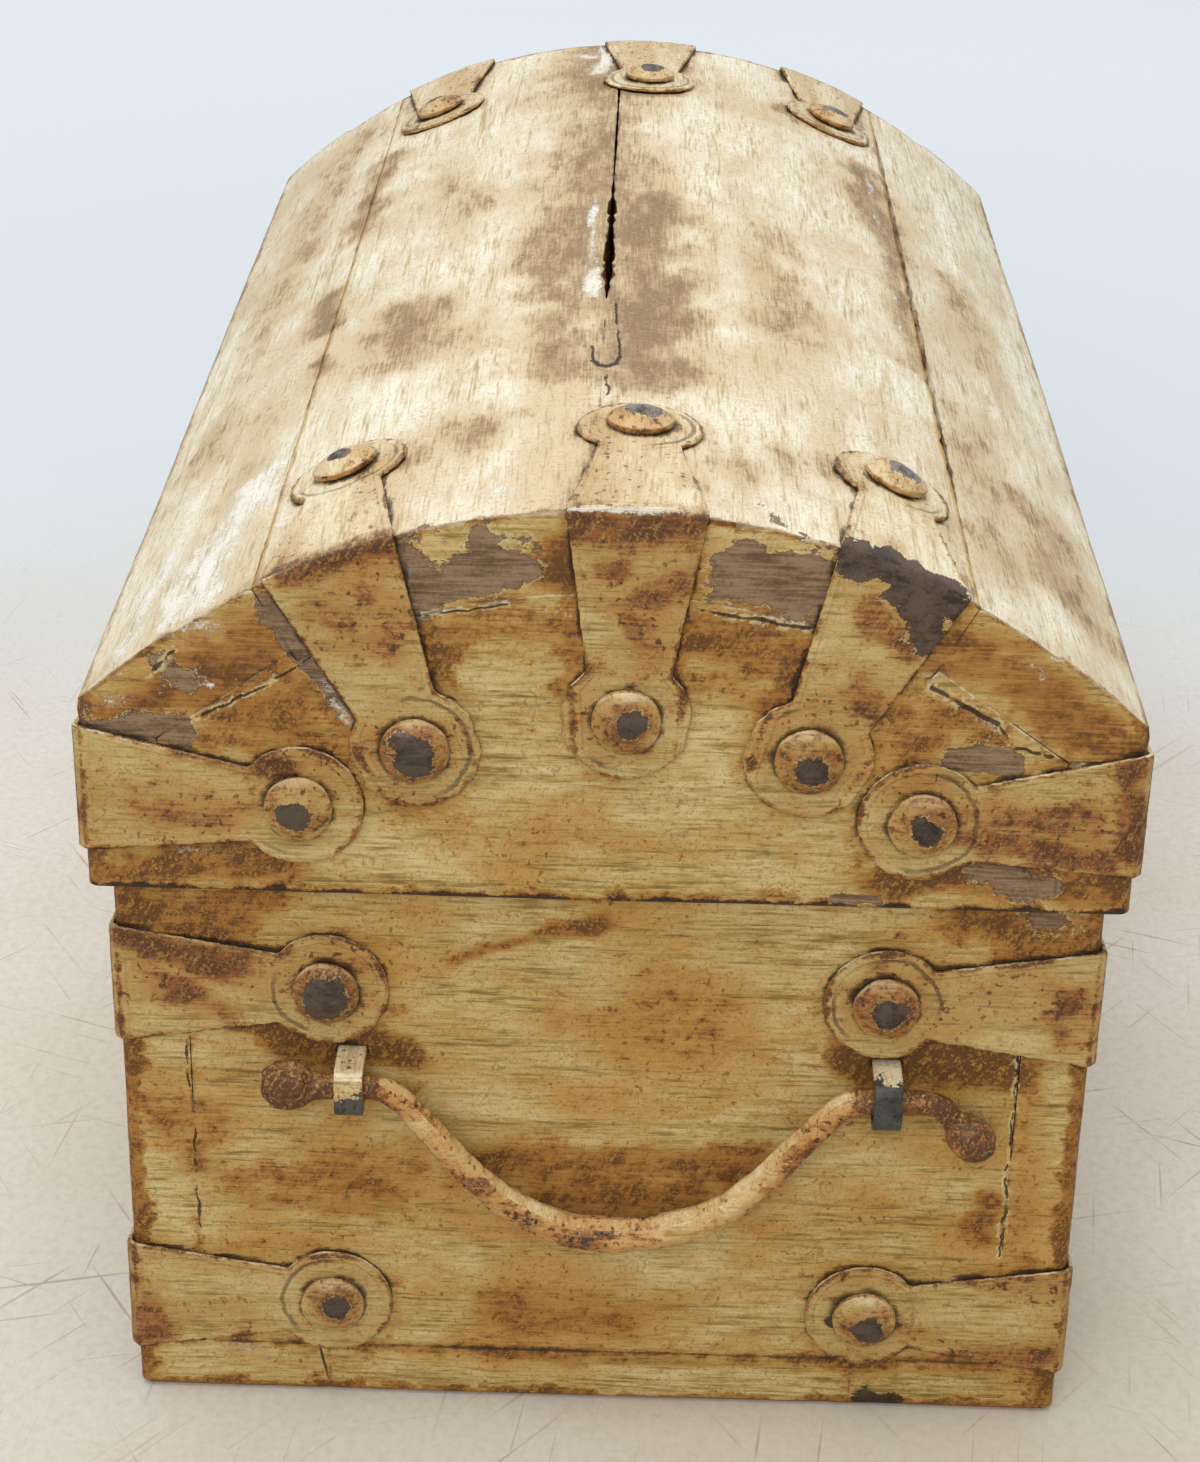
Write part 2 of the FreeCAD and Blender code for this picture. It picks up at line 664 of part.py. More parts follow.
def build():
    """Every node of the chest by name."""
    nodes = {}
    carcass_straps, lid_straps = build_straps()
    carcass_nails = [n for _, nails in carcass_straps.values() for n in nails]
    lid_nails = [n for _, nails in lid_straps.values() for n in nails]
    for name, (strap, nails) in {**carcass_straps, **lid_straps}.items():
        nodes[name] = drilled(strap, nails)

    hinge_place = lid_length / 2 - hinge_inset
    hinge_places = {"left": -hinge_place, "right": hinge_place}
    for end, place in hinge_places.items():
        lower_nail, upper_nail = hinge_nails()
        pieces = {
            f"hinge_{end}_lower_leaf": drilled(hinge_lower_leaf(), [lower_nail]),
            f"hinge_{end}_upper_leaf": drilled(hinge_upper_leaf(), [upper_nail]),
            f"hinge_{end}_pin": hinge_pin_rod(),
        }
        for piece in [*pieces.values(), lower_nail, upper_nail]:
            piece.translate(V(place, 0, 0))
        nodes.update(pieces)
        carcass_nails.append(lower_nail)
        lid_nails.append(upper_nail)

    clasp_places = [-handle_shift + side * clasp_spacing / 2 for side in (FRONT, BACK)]
    left_clasps = [clasp(y) for y in clasp_places]
    left_slots = [slot for y in clasp_places for slot in clasp_slots(y)]
    nodes["left_handle_clasps"] = Part.makeCompound(left_clasps)
    nodes["right_handle_clasps"] = Part.makeCompound([c.mirror(ORIGIN, X) for c in left_clasps])
    nodes["left_handle"] = handle()
    nodes["right_handle"] = handle().mirror(ORIGIN, X)

    carcass_front, lid_front = -carcass_width / 2, -lid_width / 2
    carcass_eye_height = carcass_height - eye_height
    lid_eye_height = carcass_height + eye_height
    nodes["carcass_eye"] = padlock_eye(carcass_front, carcass_eye_height)
    nodes["lid_eye"] = padlock_eye(lid_front, lid_eye_height)

    carcass_boards = {
        "carcass_front": carcass_wall(FRONT),
        "carcass_back": carcass_wall(BACK),
        "carcass_left_end": carcass_end(LEFT),
        "carcass_right_end": carcass_end(RIGHT),
        **floor_planks(),
    }
    slots = left_slots + [s.mirror(ORIGIN, X) for s in left_slots]
    carcass_holes = carcass_nails + slots + eye_holes(carcass_front, carcass_eye_height)
    for name, board in carcass_boards.items():
        nodes[name] = drilled(board, carcass_holes)

    lid_boards = {
        "lid_front_rail": lid_rail(FRONT),
        "lid_back_rail": lid_rail(BACK),
        "lid_left_end": lid_end(LEFT),
        "lid_right_end": lid_end(RIGHT),
        "crown_plank_front": crown_plank_board(FRONT),
        "crown_plank_back": crown_plank_board(BACK),
        "eave_plank_front": eave_plank_board(FRONT),
        "eave_plank_back": eave_plank_board(BACK),
    }
    lid_holes = lid_nails + eye_holes(lid_front, lid_eye_height)
    for name, board in lid_boards.items():
        nodes[name] = drilled(board, lid_holes)

    nodes["carcass_nails"] = Part.makeCompound(carcass_nails)
    nodes["lid_nails"] = Part.makeCompound(lid_nails)
    return nodes


os.makedirs("parts", exist_ok=True)
for name, shape in build().items():
    shape.exportStep(f"parts/{name}.step")
    print(f"{name}: {len(shape.Solids)} solids, {shape.Volume / 1000:.1f} cm3, valid {shape.isValid()}")
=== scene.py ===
"""Looks of a small dome-topped storage chest: worn cream paint over old boards and folded iron straps.

Each visible CAD node is replaced by a worn piece, cut or remeshed from the node's own shape or modelled
new in its place, which rides on the node's body. The distances to edges, seams and ironwork and the
patches of wear, soiling and painted light are kept in the meshes, where the finishes read them.
"""

import json
import logging
import math
import random
from collections.abc import Iterator
from contextlib import contextmanager
from dataclasses import dataclass, field, fields
from enum import Enum

import bpy
import numpy as np
from mathutils import Matrix, Vector, noise
from mathutils.bvhtree import BVHTree
from mathutils.kdtree import KDTree


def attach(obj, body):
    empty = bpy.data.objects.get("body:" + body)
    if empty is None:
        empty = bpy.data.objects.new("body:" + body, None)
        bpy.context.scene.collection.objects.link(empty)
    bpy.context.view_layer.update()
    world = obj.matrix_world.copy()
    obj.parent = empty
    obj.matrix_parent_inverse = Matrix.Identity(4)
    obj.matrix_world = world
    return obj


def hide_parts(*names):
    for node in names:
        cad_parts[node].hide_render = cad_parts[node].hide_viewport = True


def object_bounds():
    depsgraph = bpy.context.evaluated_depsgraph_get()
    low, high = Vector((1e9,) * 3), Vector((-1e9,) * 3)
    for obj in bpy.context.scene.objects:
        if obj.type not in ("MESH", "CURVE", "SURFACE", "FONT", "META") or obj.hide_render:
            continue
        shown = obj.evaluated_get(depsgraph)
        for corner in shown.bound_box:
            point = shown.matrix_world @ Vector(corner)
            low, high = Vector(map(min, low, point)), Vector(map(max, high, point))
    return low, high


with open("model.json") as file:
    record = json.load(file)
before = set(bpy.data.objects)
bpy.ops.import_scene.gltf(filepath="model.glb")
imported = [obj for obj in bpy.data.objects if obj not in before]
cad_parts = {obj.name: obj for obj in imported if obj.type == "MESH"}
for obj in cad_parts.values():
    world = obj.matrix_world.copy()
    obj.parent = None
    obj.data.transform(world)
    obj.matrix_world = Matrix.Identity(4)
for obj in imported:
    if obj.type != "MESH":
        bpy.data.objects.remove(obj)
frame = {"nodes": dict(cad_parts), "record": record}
CAD_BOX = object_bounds()

log = logging.getLogger("chest")

MM = 0.001
FAR = 20 * MM  # distances past this are not told apart
MERGE_GAP = 0.002 * MM  # corners of CAD triangles closer than this are one
CUT_GAP = 0.02 * MM  # a cut this close to a corner goes through it
FLAT_TURN = math.radians(0.5)  # faces that turn less than this become one
HALVING = 0.7  # e to the power of minus this is about a half
NOISE_SEED = 7  # without one, noise vectors differ from run to run

Socket = bpy.types.NodeSocket
Sockets = dict[str, Socket]
Point = tuple[float, float, float]
Dents = tuple[tuple[float, float], ...]  # size and depth of each layer of dents


class Shows(Enum):
    """What a patch shows, by the name of the value that carries it."""

    WORN = "worn"  # brown ground under thin paint, and painted shade under the handle pads
    RAW = "raw"  # bare wood or bare iron, and painted shade on the clasps' lower halves
    CHALK = "chalk"  # white filler and bleached paint, and painted highlights on the left eave and a strap's fold
    GRIME = "grime"  # black dirt, and painted shade along the lid's lower edge


def linear(code: str) -> tuple[float, float, float, float]:
    """Turn a colour written as #rrggbb into the linear colour that a shader takes.

    Args:
        code: Colour as a hash sign and six hexadecimal digits.

    Returns:
        Red, green, blue and an alpha of one.
    """
    parts = [int(code[i:i + 2], 16) / 255 for i in (1, 3, 5)]
    values = [c / 12.92 if c <= 0.04045 else ((c + 0.055) / 1.055) ** 2.4 for c in parts]
    return (*values, 1.0)


# Mesh work


def deselect_all() -> None:
    """Leave nothing selected and no mode but object mode."""
    if bpy.context.object and bpy.context.object.mode != "OBJECT":
        bpy.ops.object.mode_set(mode="OBJECT")
    bpy.ops.object.select_all(action="DESELECT")


def make_active(piece: bpy.types.Object) -> None:
    """Select one piece alone and make it active."""
    deselect_all()
    piece.select_set(True)
    bpy.context.view_layer.objects.active = piece


@contextmanager
def edit_mode(piece: bpy.types.Object) -> Iterator[None]:
    """Hold a piece in edit mode, with all of it selected at first."""
    make_active(piece)
    bpy.ops.object.mode_set(mode="EDIT")
    bpy.ops.mesh.select_all(action="SELECT")
    yield
    bpy.ops.object.mode_set(mode="OBJECT")


def join(pieces: list[bpy.types.Object], name: str) -> bpy.types.Object:
    """Join pieces into the first of them.

    Args:
        pieces: Mesh objects to join.
        name: Name of the joined piece.

    Returns:
        The joined piece.
    """
    make_active(pieces[0])
    for piece in pieces[1:]:
        piece.select_set(True)
    if len(pieces) > 1:
        bpy.ops.object.join()
    joined = bpy.context.object
    joined.name = name
    return joined


def copy_of_node(node: str, name: str) -> bpy.types.Object:
    """Copy a CAD node's mesh into a piece of its own, with its loose triangles merged.

    Args:
        node: Name of the CAD node.
        name: Name of the new piece.

    Returns:
        The new piece, at the origin.
    """
    piece = bpy.data.objects.new(name, frame["nodes"][node].data.copy())
    bpy.context.scene.collection.objects.link(piece)
    piece.data.materials.clear()
    with edit_mode(piece):
        bpy.ops.mesh.remove_doubles(threshold=MERGE_GAP)
        bpy.ops.mesh.customdata_custom_splitnormals_clear()
        bpy.ops.mesh.dissolve_limited(angle_limit=FLAT_TURN)
    return piece


def apply_modifier(piece: bpy.types.Object, kind: str, **settings: object) -> None:
    """Add a modifier with its settings and apply it.

    Args:
        piece: Mesh that the modifier works on.
        kind: Blender's name of the modifier type.
        settings: Values of the modifier's properties.
    """
    make_active(piece)
    modifier = piece.modifiers.new(kind.title(), kind)
    for key, value in settings.items():
        setattr(modifier, key, value)
    bpy.ops.object.modifier_apply(modifier=modifier.name)


def clouds(size: float) -> bpy.types.Texture:
    """Soft cloud texture for a displacement, with features of about the size given in metres."""
    texture = bpy.data.textures.new("clouds", "CLOUDS")
    texture.noise_scale = size
    texture.noise_depth = 2
    return texture


def dent(piece: bpy.types.Object, dents: Dents, middle: float = 1.0, **settings: object) -> None:
    """Dent a mesh with layers of soft clouds.

    Args:
        piece: Mesh, changed in place.
        dents: Size and depth of each layer.
        middle: Level of the clouds that moves nothing. At one, every dent goes inwards.
        settings: Further values of the modifier's properties.
    """
    for size, depth in dents:
        apply_modifier(
            piece, "DISPLACE", texture=clouds(size), strength=depth, mid_level=middle,
            texture_coords="LOCAL", **settings,
        )


def cut_grid(piece: bpy.types.Object, step: float) -> None:
    """Cut a mesh into small faces by planes across each axis.

    Args:
        piece: Mesh to cut.
        step: Distance between the planes, about.
    """
    places = places_of(piece)
    low, high = places.min(0), places.max(0)
    with edit_mode(piece):
        for axis in range(3):
            count = max(1, round(float(high[axis] - low[axis]) / step))
            across = [float(i == axis) for i in range(3)]
            for index in range(1, count):
                at = float(low[axis] + (high[axis] - low[axis]) * index / count)
                bpy.ops.mesh.select_all(action="SELECT")
                bpy.ops.mesh.bisect(plane_co=[at * c for c in across], plane_no=across, threshold=CUT_GAP)


def sharp_points(piece: bpy.types.Object, angle: float = 28.0, round_angle: float = 4.0,
                 narrow: float = 0.8 * MM, spacing: float = 0.8 * MM) -> list[Vector]:
    """Points along a mesh's sharp edges and along its narrow rounded ones.

    Args:
        piece: Mesh to read.
        angle: Least angle between two faces at a sharp edge, in degrees.
        round_angle: Least angle at an edge of a narrow face, in degrees.
        narrow: Breadth under which a face is narrow.
        spacing: Distance between points.

    Returns:
        Points in the piece's own coordinates.
    """
    mesh = piece.data
    sides: dict[tuple[int, int], list[bpy.types.MeshPolygon]] = {}
    strips = set()
    for face in mesh.polygons:
        spans = [(mesh.vertices[a].co - mesh.vertices[b].co).length for a, b in face.edge_keys]
        if face.area / max(spans) < narrow:
            strips.add(face.index)
        for key in face.edge_keys:
            sides.setdefault(key, []).append(face)
    points = []
    for (first, second), faces in sides.items():
        if len(faces) == 2:
            turn = math.degrees(faces[0].normal.angle(faces[1].normal, 0.0))
            rounded = turn > round_angle and any(face.index in strips for face in faces)
            if turn < angle and not rounded:
                continue
        a, b = mesh.vertices[first].co, mesh.vertices[second].co
        steps = max(1, round((b - a).length / spacing))
        points += [a.lerp(b, i / steps) for i in range(steps + 1)]
    return points


def gaps_to_points(places: np.ndarray, points: list[Vector]) -> np.ndarray:
    """Distance from each place to the nearest of the points, at most FAR."""
    if not points:
        return np.full(len(places), FAR, dtype=np.float32)
    tree = KDTree(len(points))
    for index, point in enumerate(points):
        tree.insert(point, index)
    tree.balance()
    return np.array([min(tree.find(p)[2], FAR) for p in places], dtype=np.float32)


def nearest_on(places: np.ndarray, tree: BVHTree | None,
               limit: float = FAR) -> tuple[np.ndarray, np.ndarray]:
    """Nearest place on a surface to each place.

    Args:
        places: Rows of coordinates.
        tree: Search tree of the surface, or None for no surface.
        limit: Distance past which nothing is looked for.

    Returns:
        The distances, at most limit, and the places on the surface.
    """
    gaps = np.full(len(places), limit, dtype=np.float32)
    near = places.copy()
    for index, place in enumerate(places if tree else ()):
        hit = tree.find_nearest(Vector(place), limit)
        if hit[0] is not None:
            gaps[index] = hit[3]
            near[index] = hit[0]
    return gaps, near


def tree_of(*pieces: bpy.types.Object) -> BVHTree | None:
    """Search tree of the surfaces of some meshes, or None where there are none."""
    corners: list[Vector] = []
    faces: list[list[int]] = []
    for piece in pieces:
        start = len(corners)
        corners += [v.co.copy() for v in piece.data.vertices]
        faces += [[start + i for i in p.vertices] for p in piece.data.polygons]
    return BVHTree.FromPolygons(corners, faces) if faces else None


def places_of(piece: bpy.types.Object) -> np.ndarray:
    """Vertex places of a piece as an array of rows."""
    places = np.empty(len(piece.data.vertices) * 3, dtype=np.float32)
    piece.data.vertices.foreach_get("co", places)
    return places.reshape(-1, 3)


def normals_of(piece: bpy.types.Object) -> np.ndarray:
    """Vertex normals of a piece as an array of rows."""
    normals = np.empty(len(piece.data.vertices) * 3, dtype=np.float32)
    piece.data.vertices.foreach_get("normal", normals)
    return normals.reshape(-1, 3)


def set_places(piece: bpy.types.Object, places: np.ndarray) -> None:
    """Move the vertices of a piece to new places."""
    piece.data.vertices.foreach_set("co", np.ascontiguousarray(places, dtype=np.float32).ravel())
    piece.data.update()


def store_values(piece: bpy.types.Object, name: str, values: np.ndarray) -> None:
    """Keep one number for each vertex under a name that the finishes read."""
    attribute = piece.data.attributes.get(name) or piece.data.attributes.new(name, "FLOAT", "POINT")
    attribute.data.foreach_set("value", np.ascontiguousarray(values, dtype=np.float32))


def set_weights(piece: bpy.types.Object, name: str, weights: np.ndarray, steps: int = 20) -> None:
    """Keep a weight for each vertex in a vertex group, in even steps from zero to one."""
    group = piece.vertex_groups.new(name=name)
    shares = np.round(np.clip(weights, 0, 1) * steps).astype(int)
    for share in range(1, steps + 1):
        rows = np.nonzero(shares == share)[0].tolist()
        if rows:
            group.add(rows, share / steps, "REPLACE")


def smooth_shaded(piece: bpy.types.Object, angle: float = 40.0) -> None:
    """Shade a piece smooth, with creases past an angle in degrees."""
    make_active(piece)
    bpy.ops.object.shade_smooth_by_angle(angle=math.radians(angle))


# Wear


def faded(away: np.ndarray, reach: float) -> np.ndarray:
    """One where the distance is zero, falling softly to half at the reach."""
    return np.exp(-HALVING * (away / reach) ** 2)


def by_line(places: np.ndarray, start: Point, end: Point) -> tuple[np.ndarray, np.ndarray]:
    """Where places lie beside a line between two points.

    Args:
        places: Rows of coordinates.
        start: Start of the line, in millimetres.
        end: End of the line, in millimetres.

    Returns:
        The share of the line that each place lies along, and its distance to the line.
    """
    first = np.array(start) * MM
    run = np.array(end) * MM - first
    along = ((places - first) @ run) / max(float(run @ run), 1e-12)
    away = np.linalg.norm(places - first - np.clip(along, 0, 1)[:, None] * run, axis=1)
    return along, away


@dataclass(frozen=True)
class Patch:
    """Patch of wear, soiling or painted light: a stroke from start to end, in millimetres of the chest's
    frame.
    """

    start: Point
    end: Point
    reach: float
    strength: float = 1.0
    shows: Shows = Shows.WORN

    WANDER = 0.8  # share of its reach that the outline wanders by
    WIDEST = 9.0  # reach past which it wanders no more

    def levels(self, places: np.ndarray, wander: np.ndarray) -> np.ndarray:
        """Level of the patch at each place.

        Args:
            places: Rows of coordinates.
            wander: Soft noise at each place, which makes the outline wander.

        Returns:
            The strength along the stroke, falling to half of it at the patch's reach.
        """
        bent = places + wander * (min(self.reach, self.WIDEST) * self.WANDER * MM)
        return self.strength * faded(by_line(bent, self.start, self.end)[1], self.reach * MM)


@dataclass(frozen=True)
class Crack:
    """Thin crack in the paint between two points, in millimetres of the chest's frame."""

    start: Point
    end: Point
    width: float = 0.5
    wobble: float = 1.2
    flaked: bool = False  # whether the paint has come off along it


@dataclass(frozen=True)
class Opening:
    """Stretch of a seam that stands open, in millimetres of the chest's frame."""

    start: Point
    end: Point
    width: float

    TAPER = 5  # one over the share of its length that each end narrows along
    SPREAD = 18 * MM  # how far from its line it moves the edges of the seam

    def widths(self, places: np.ndarray) -> np.ndarray:
        """Width of the opening at each place, narrowing to nothing at its ends."""
        along, away = by_line(places, self.start, self.end)
        swell = np.clip(np.minimum(along, 1 - along) * self.TAPER, 0, 1) * (away < self.SPREAD)
        return self.width * MM * swell


def wandering(places: np.ndarray, broad: float = 14 * MM, fine: float = 5 * MM) -> np.ndarray:
    """Soft noise vector at each place, with features of two sizes."""
    rows = (
        noise.noise_vector(p / broad) + noise.noise_vector(p / fine) * 0.4 for p in map(Vector, places)
    )
    return np.array([tuple(row) for row in rows], dtype=np.float32)


def wear_in(piece: bpy.types.Object, patches: tuple[Patch, ...], **gaps: np.ndarray) -> None:
    """Keep in a mesh all the values that its finish reads.

    Args:
        piece: Mesh to dress.
        patches: Patches of wear, soiling and painted light that may lie on it.
        gaps: Distance of each vertex to the nearest free edge as edge_gap, to the next board as
            seam_gap and to the ironwork on the piece as iron_gap. One that isn't given is FAR.
    """
    places, normals = places_of(piece), normals_of(piece)
    far = np.full(len(places), FAR, dtype=np.float32)
    for name in ("edge_gap", "seam_gap", "iron_gap"):
        store_values(piece, name, gaps.get(name, far))
    # How far each vertex faces the sky, which turns the paint to its sun tones: sun-bleached paint on the
    # wood, painted highlight on the ironwork, nails, handles and clasps
    store_values(piece, "sky", np.clip(normals[:, 2], 0, 1))
    store_values(piece, "endward", np.abs(normals[:, 0]))
    wander = wandering(places) if patches else places
    for shows in Shows:
        levels = np.zeros(len(places), dtype=np.float32)
        for patch in patches:
            if patch.shows is shows:
                levels = np.maximum(levels, patch.levels(places, wander))
        store_values(piece, shows.value, levels)


# Node work


class NodeSheet:
    """Adds and joins shader nodes on one node tree."""

    def __init__(self, tree: bpy.types.NodeTree) -> None:
        self.tree = tree

    def put(self, socket: Socket, value: object) -> None:
        """Link or set one input socket."""
        if isinstance(value, Socket):
            self.tree.links.new(value, socket)
        else:
            socket.default_value = value

    def fill(self, node: bpy.types.Node, inputs: dict) -> None:
        """Link or set inputs of a node by name or number."""
        for key, value in inputs.items():
            self.put(node.inputs[key], value)

    def add(self, kind: str, inputs: dict | None = None, **settings: object) -> bpy.types.Node:
        """Add a node, set its properties, and fill or link its inputs.

        Args:
            kind: Blender's type name of the node.
            inputs: Value or output socket for each input, by name or number.
            settings: Values of the node's properties.

        Returns:
            The new node.
        """
        node = self.tree.nodes.new(kind)
        for key, value in settings.items():
            setattr(node, key, value)
        self.fill(node, inputs or {})
        return node

    def maths(self, operation: str, *values: object, clamp: bool = False) -> Socket:
        """Output of a maths node on up to three numbers or sockets."""
        inputs = dict(enumerate(values))
        return self.add("ShaderNodeMath", inputs, operation=operation, use_clamp=clamp).outputs[0]

    def total(self, *terms: tuple[object, float], start: object = 0.0) -> Socket:
        """Sum of sockets, each times a number.

        Args:
            terms: Pairs of a socket and the number that it is taken times.
            start: Number or socket that the sum starts from.

        Returns:
            The sum.
        """
        for socket, share in terms:
            start = self.maths("MULTIPLY_ADD", socket, share, start)
        return start

    def noise(self, vector: object, scale: object, detail: float = 4.0, roughness: float = 0.55,
              distortion: float = 0.0) -> Socket:
        """Output of a noise texture, about 0 to 1, with scale in features per metre."""
        inputs = {
            "Vector": vector, "Scale": scale, "Detail": detail,
            "Roughness": roughness, "Distortion": distortion,
        }
        return self.add("ShaderNodeTexNoise", inputs).outputs["Fac"]

    def steps(self, value: object, low: object, high: object, start: float = 0.0, end: float = 1.0) -> Socket:
        """Value turned smoothly from start at low to end at high."""
        inputs = {"Value": value, "From Min": low, "From Max": high, "To Min": start, "To Max": end}
        return self.add("ShaderNodeMapRange", inputs, interpolation_type="SMOOTHSTEP").outputs["Result"]

    def band(self, value: object, middle: float, half: float) -> Socket:
        """One where a value is close to its middle, falling to zero half away from it."""
        away = self.maths("ABSOLUTE", self.maths("SUBTRACT", value, middle))
        return self.steps(away, half * 0.4, half, 1.0, 0.0)

    def mix(self, factor: object, first: object, second: object) -> Socket:
        """Colour between two colours or sockets."""
        return self.add("ShaderNodeMix", {0: factor, 6: first, 7: second}, data_type="RGBA").outputs[2]

    def mix_vectors(self, factor: object, first: object, second: object) -> Socket:
        """Vector between two vectors or sockets."""
        return self.add("ShaderNodeMix", {0: factor, 4: first, 5: second}, data_type="VECTOR").outputs[1]

    def vector(self, operation: str, *values: object, out: str = "Vector") -> Socket:
        """Output of a vector maths node on vectors or sockets."""
        inputs = dict(enumerate(values))
        return self.add("ShaderNodeVectorMath", inputs, operation=operation).outputs[out]

    def scaled(self, vector: object, scale: object) -> Socket:
        """Vector times a number."""
        inputs = {"Vector": vector, "Scale": scale}
        return self.add("ShaderNodeVectorMath", inputs, operation="SCALE").outputs["Vector"]

    def drawn_out(self, vector: object, rotation: Point, scale: Point) -> Socket:
        """Coordinates turned and drawn out, for a texture with long marks."""
        inputs = {"Vector": vector, "Rotation": rotation, "Scale": scale}
        return self.add("ShaderNodeMapping", inputs, vector_type="TEXTURE").outputs[0]

    def number(self, name: str) -> Socket:
        """Value kept with the mesh under a name."""
        return self.add("ShaderNodeAttribute", attribute_name=name).outputs["Fac"]

    def group(self, tree: bpy.types.NodeTree, **inputs: object) -> bpy.types.Node:
        """Place a node group and fill its inputs."""
        node = self.add("ShaderNodeGroup", node_tree=tree)
        self.fill(node, {key.capitalize(): value for key, value in inputs.items()})
        return node


def new_group(name: str, inputs: dict[str, object],
              outputs: tuple[str, ...]) -> tuple[NodeSheet, Sockets, bpy.types.Node]:
    """Start a shader node group with named sockets.

    Args:
        name: Name of the group.
        inputs: Default of each input by name: a number, or None for a vector.
        outputs: Names of the outputs, each a number.

    Returns:
        A sheet on the group's tree, its inputs by name and its output node.
    """
    tree = bpy.data.node_groups.new(name, "ShaderNodeTree")
    for key, default in inputs.items():
        kind = "NodeSocketVector" if default is None else "NodeSocketFloat"
        socket = tree.interface.new_socket(name=key, in_out="INPUT", socket_type=kind)
        if default is not None:
            socket.default_value = default
    for key in outputs:
        tree.interface.new_socket(name=key, in_out="OUTPUT", socket_type="NodeSocketFloat")
    sheet = NodeSheet(tree)
    given = sheet.add("NodeGroupInput")
    return sheet, {key: given.outputs[key] for key in inputs}, sheet.add("NodeGroupOutput")


class Effects:
    """Shader node groups that the finishes share, each built once."""

    def __init__(self) -> None:
        self.brushwork = self.brushwork_group()
        self.grime = self.grime_group()
        self.crack = self.crack_group()

    @staticmethod
    def brushwork_group() -> bpy.types.NodeTree:
        """Group of the marks of an old dry brush, from hand-wide blotches to hair-fine scratches."""
        sheet, given, result = new_group(
            "Brushwork",
            {
                "Place": None, "Drawn": None, "Stretched": None,
                "Blotches": 44.0, "Mottles": 190.0, "Strokes": 1700.0,
            },
            ("Bands", "Strokes", "Broad", "Mottle", "Fine", "Speck", "Scratch", "Hair"),
        )
        place, drawn, stretched = given["Place"], given["Drawn"], given["Stretched"]
        slanted = sheet.drawn_out(place, (0.62, 0.0, 0.5), (1.0, 1.0, 14.0))
        sheet.fill(result, {
            "Bands": sheet.noise(stretched, 330.0, 3.0, 0.6),
            "Strokes": sheet.noise(stretched, given["Strokes"], 4.0, 0.65),
            "Broad": sheet.noise(drawn, given["Blotches"], 5.0, 0.6, 0.3),
            "Mottle": sheet.noise(drawn, given["Mottles"], 6.0, 0.68, 0.2),
            "Fine": sheet.noise(place, 1700.0, 3.0, 0.65),
            "Speck": sheet.noise(place, 620.0, 2.0, 0.55),
            "Scratch": sheet.noise(slanted, 1000.0, 2.0, 0.6),
            "Hair": sheet.noise(place, 210.0, 1.0, 0.5, 1.6),
        })
        return sheet.tree

    @staticmethod
    def grime_group() -> bpy.types.NodeTree:
        """Group of what gathers within a reach of an edge or of another piece, with a ragged rim."""
        sheet, given, result = new_group(
            "Gathered grime", {"Gap": 1.0, "Reach": 1.0, "Ragged": 1.0, "Noise": 0.5}, ("Level",)
        )
        swing = sheet.maths("SUBTRACT", given["Noise"], 0.5)
        spread = sheet.maths("MULTIPLY_ADD", swing, given["Ragged"], 0.5)
        reach = sheet.maths("MULTIPLY", spread, sheet.maths("MULTIPLY", given["Reach"], 2.0))
        share = sheet.maths("DIVIDE", given["Gap"], sheet.maths("MAXIMUM", reach, 0.00001))
        sheet.fill(result, {"Level": sheet.steps(share, 0.1, 1.3, 1.0, 0.0)})
        return sheet.tree

    @staticmethod
    def crack_group() -> bpy.types.NodeTree:
        """Group of one wandering crack between two points, and of the flaked paint along it."""
        sheet, given, result = new_group(
            "Crack",
            {"Place": None, "Wander": None, "Start": None, "Run": None, "Width": 0.0005, "Wobble": 0.001},
            ("Level", "Flaked"),
        )
        place = sheet.vector("ADD", given["Place"], sheet.scaled(given["Wander"], given["Wobble"]))
        from_start = sheet.vector("SUBTRACT", place, given["Start"])
        run = given["Run"]
        length = sheet.vector("DOT_PRODUCT", run, run, out="Value")
        reached = sheet.vector("DOT_PRODUCT", from_start, run, out="Value")
        foot = sheet.scaled(run, sheet.maths("DIVIDE", reached, length, clamp=True))
        away = sheet.vector("LENGTH", sheet.vector("SUBTRACT", from_start, foot), out="Value")
        share = sheet.maths("DIVIDE", away, given["Width"])
        sheet.fill(result, {
            "Level": sheet.steps(share, 0.35, 0.75, 1.0, 0.0),
            "Flaked": sheet.steps(share, 0.8, 2.4, 1.0, 0.0),
        })
        return sheet.tree


@dataclass(frozen=True)
class Palette:
    """Tones of one paint, from its clean strokes to the ground that shows where it is gone."""

    light: str
    middle: str
    dark: str
    gold: str
    under: str
    under_dark: str


# END_TONES and DOME_TONES are the wood's unbleached and sun-bleached paint; the top tones of the straps and
# nails are their side tones painted lighter as highlight
END_TONES = Palette("#d3bf88", "#ae9352", "#7d5a28", "#b68436", "#9b6429", "#553110")
DOME_TONES = Palette("#f4eedd", "#dccdaa", "#b0976e", "#d0b98f", "#af9471", "#82684a")
STRAP_TONES = Palette("#cab47c", "#b09455", "#866434", "#b07f3c", "#8a5226", "#472611")
STRAP_TOP_TONES = Palette("#efe6c9", "#dccaa1", "#b0946a", "#c2a26c", "#97714a", "#5c3f2b")
NAIL_TOP_TONES = Palette("#e6dab8", "#d3bf94", "#b3976c", "#c29a64", "#a97a4c", "#6a4527")


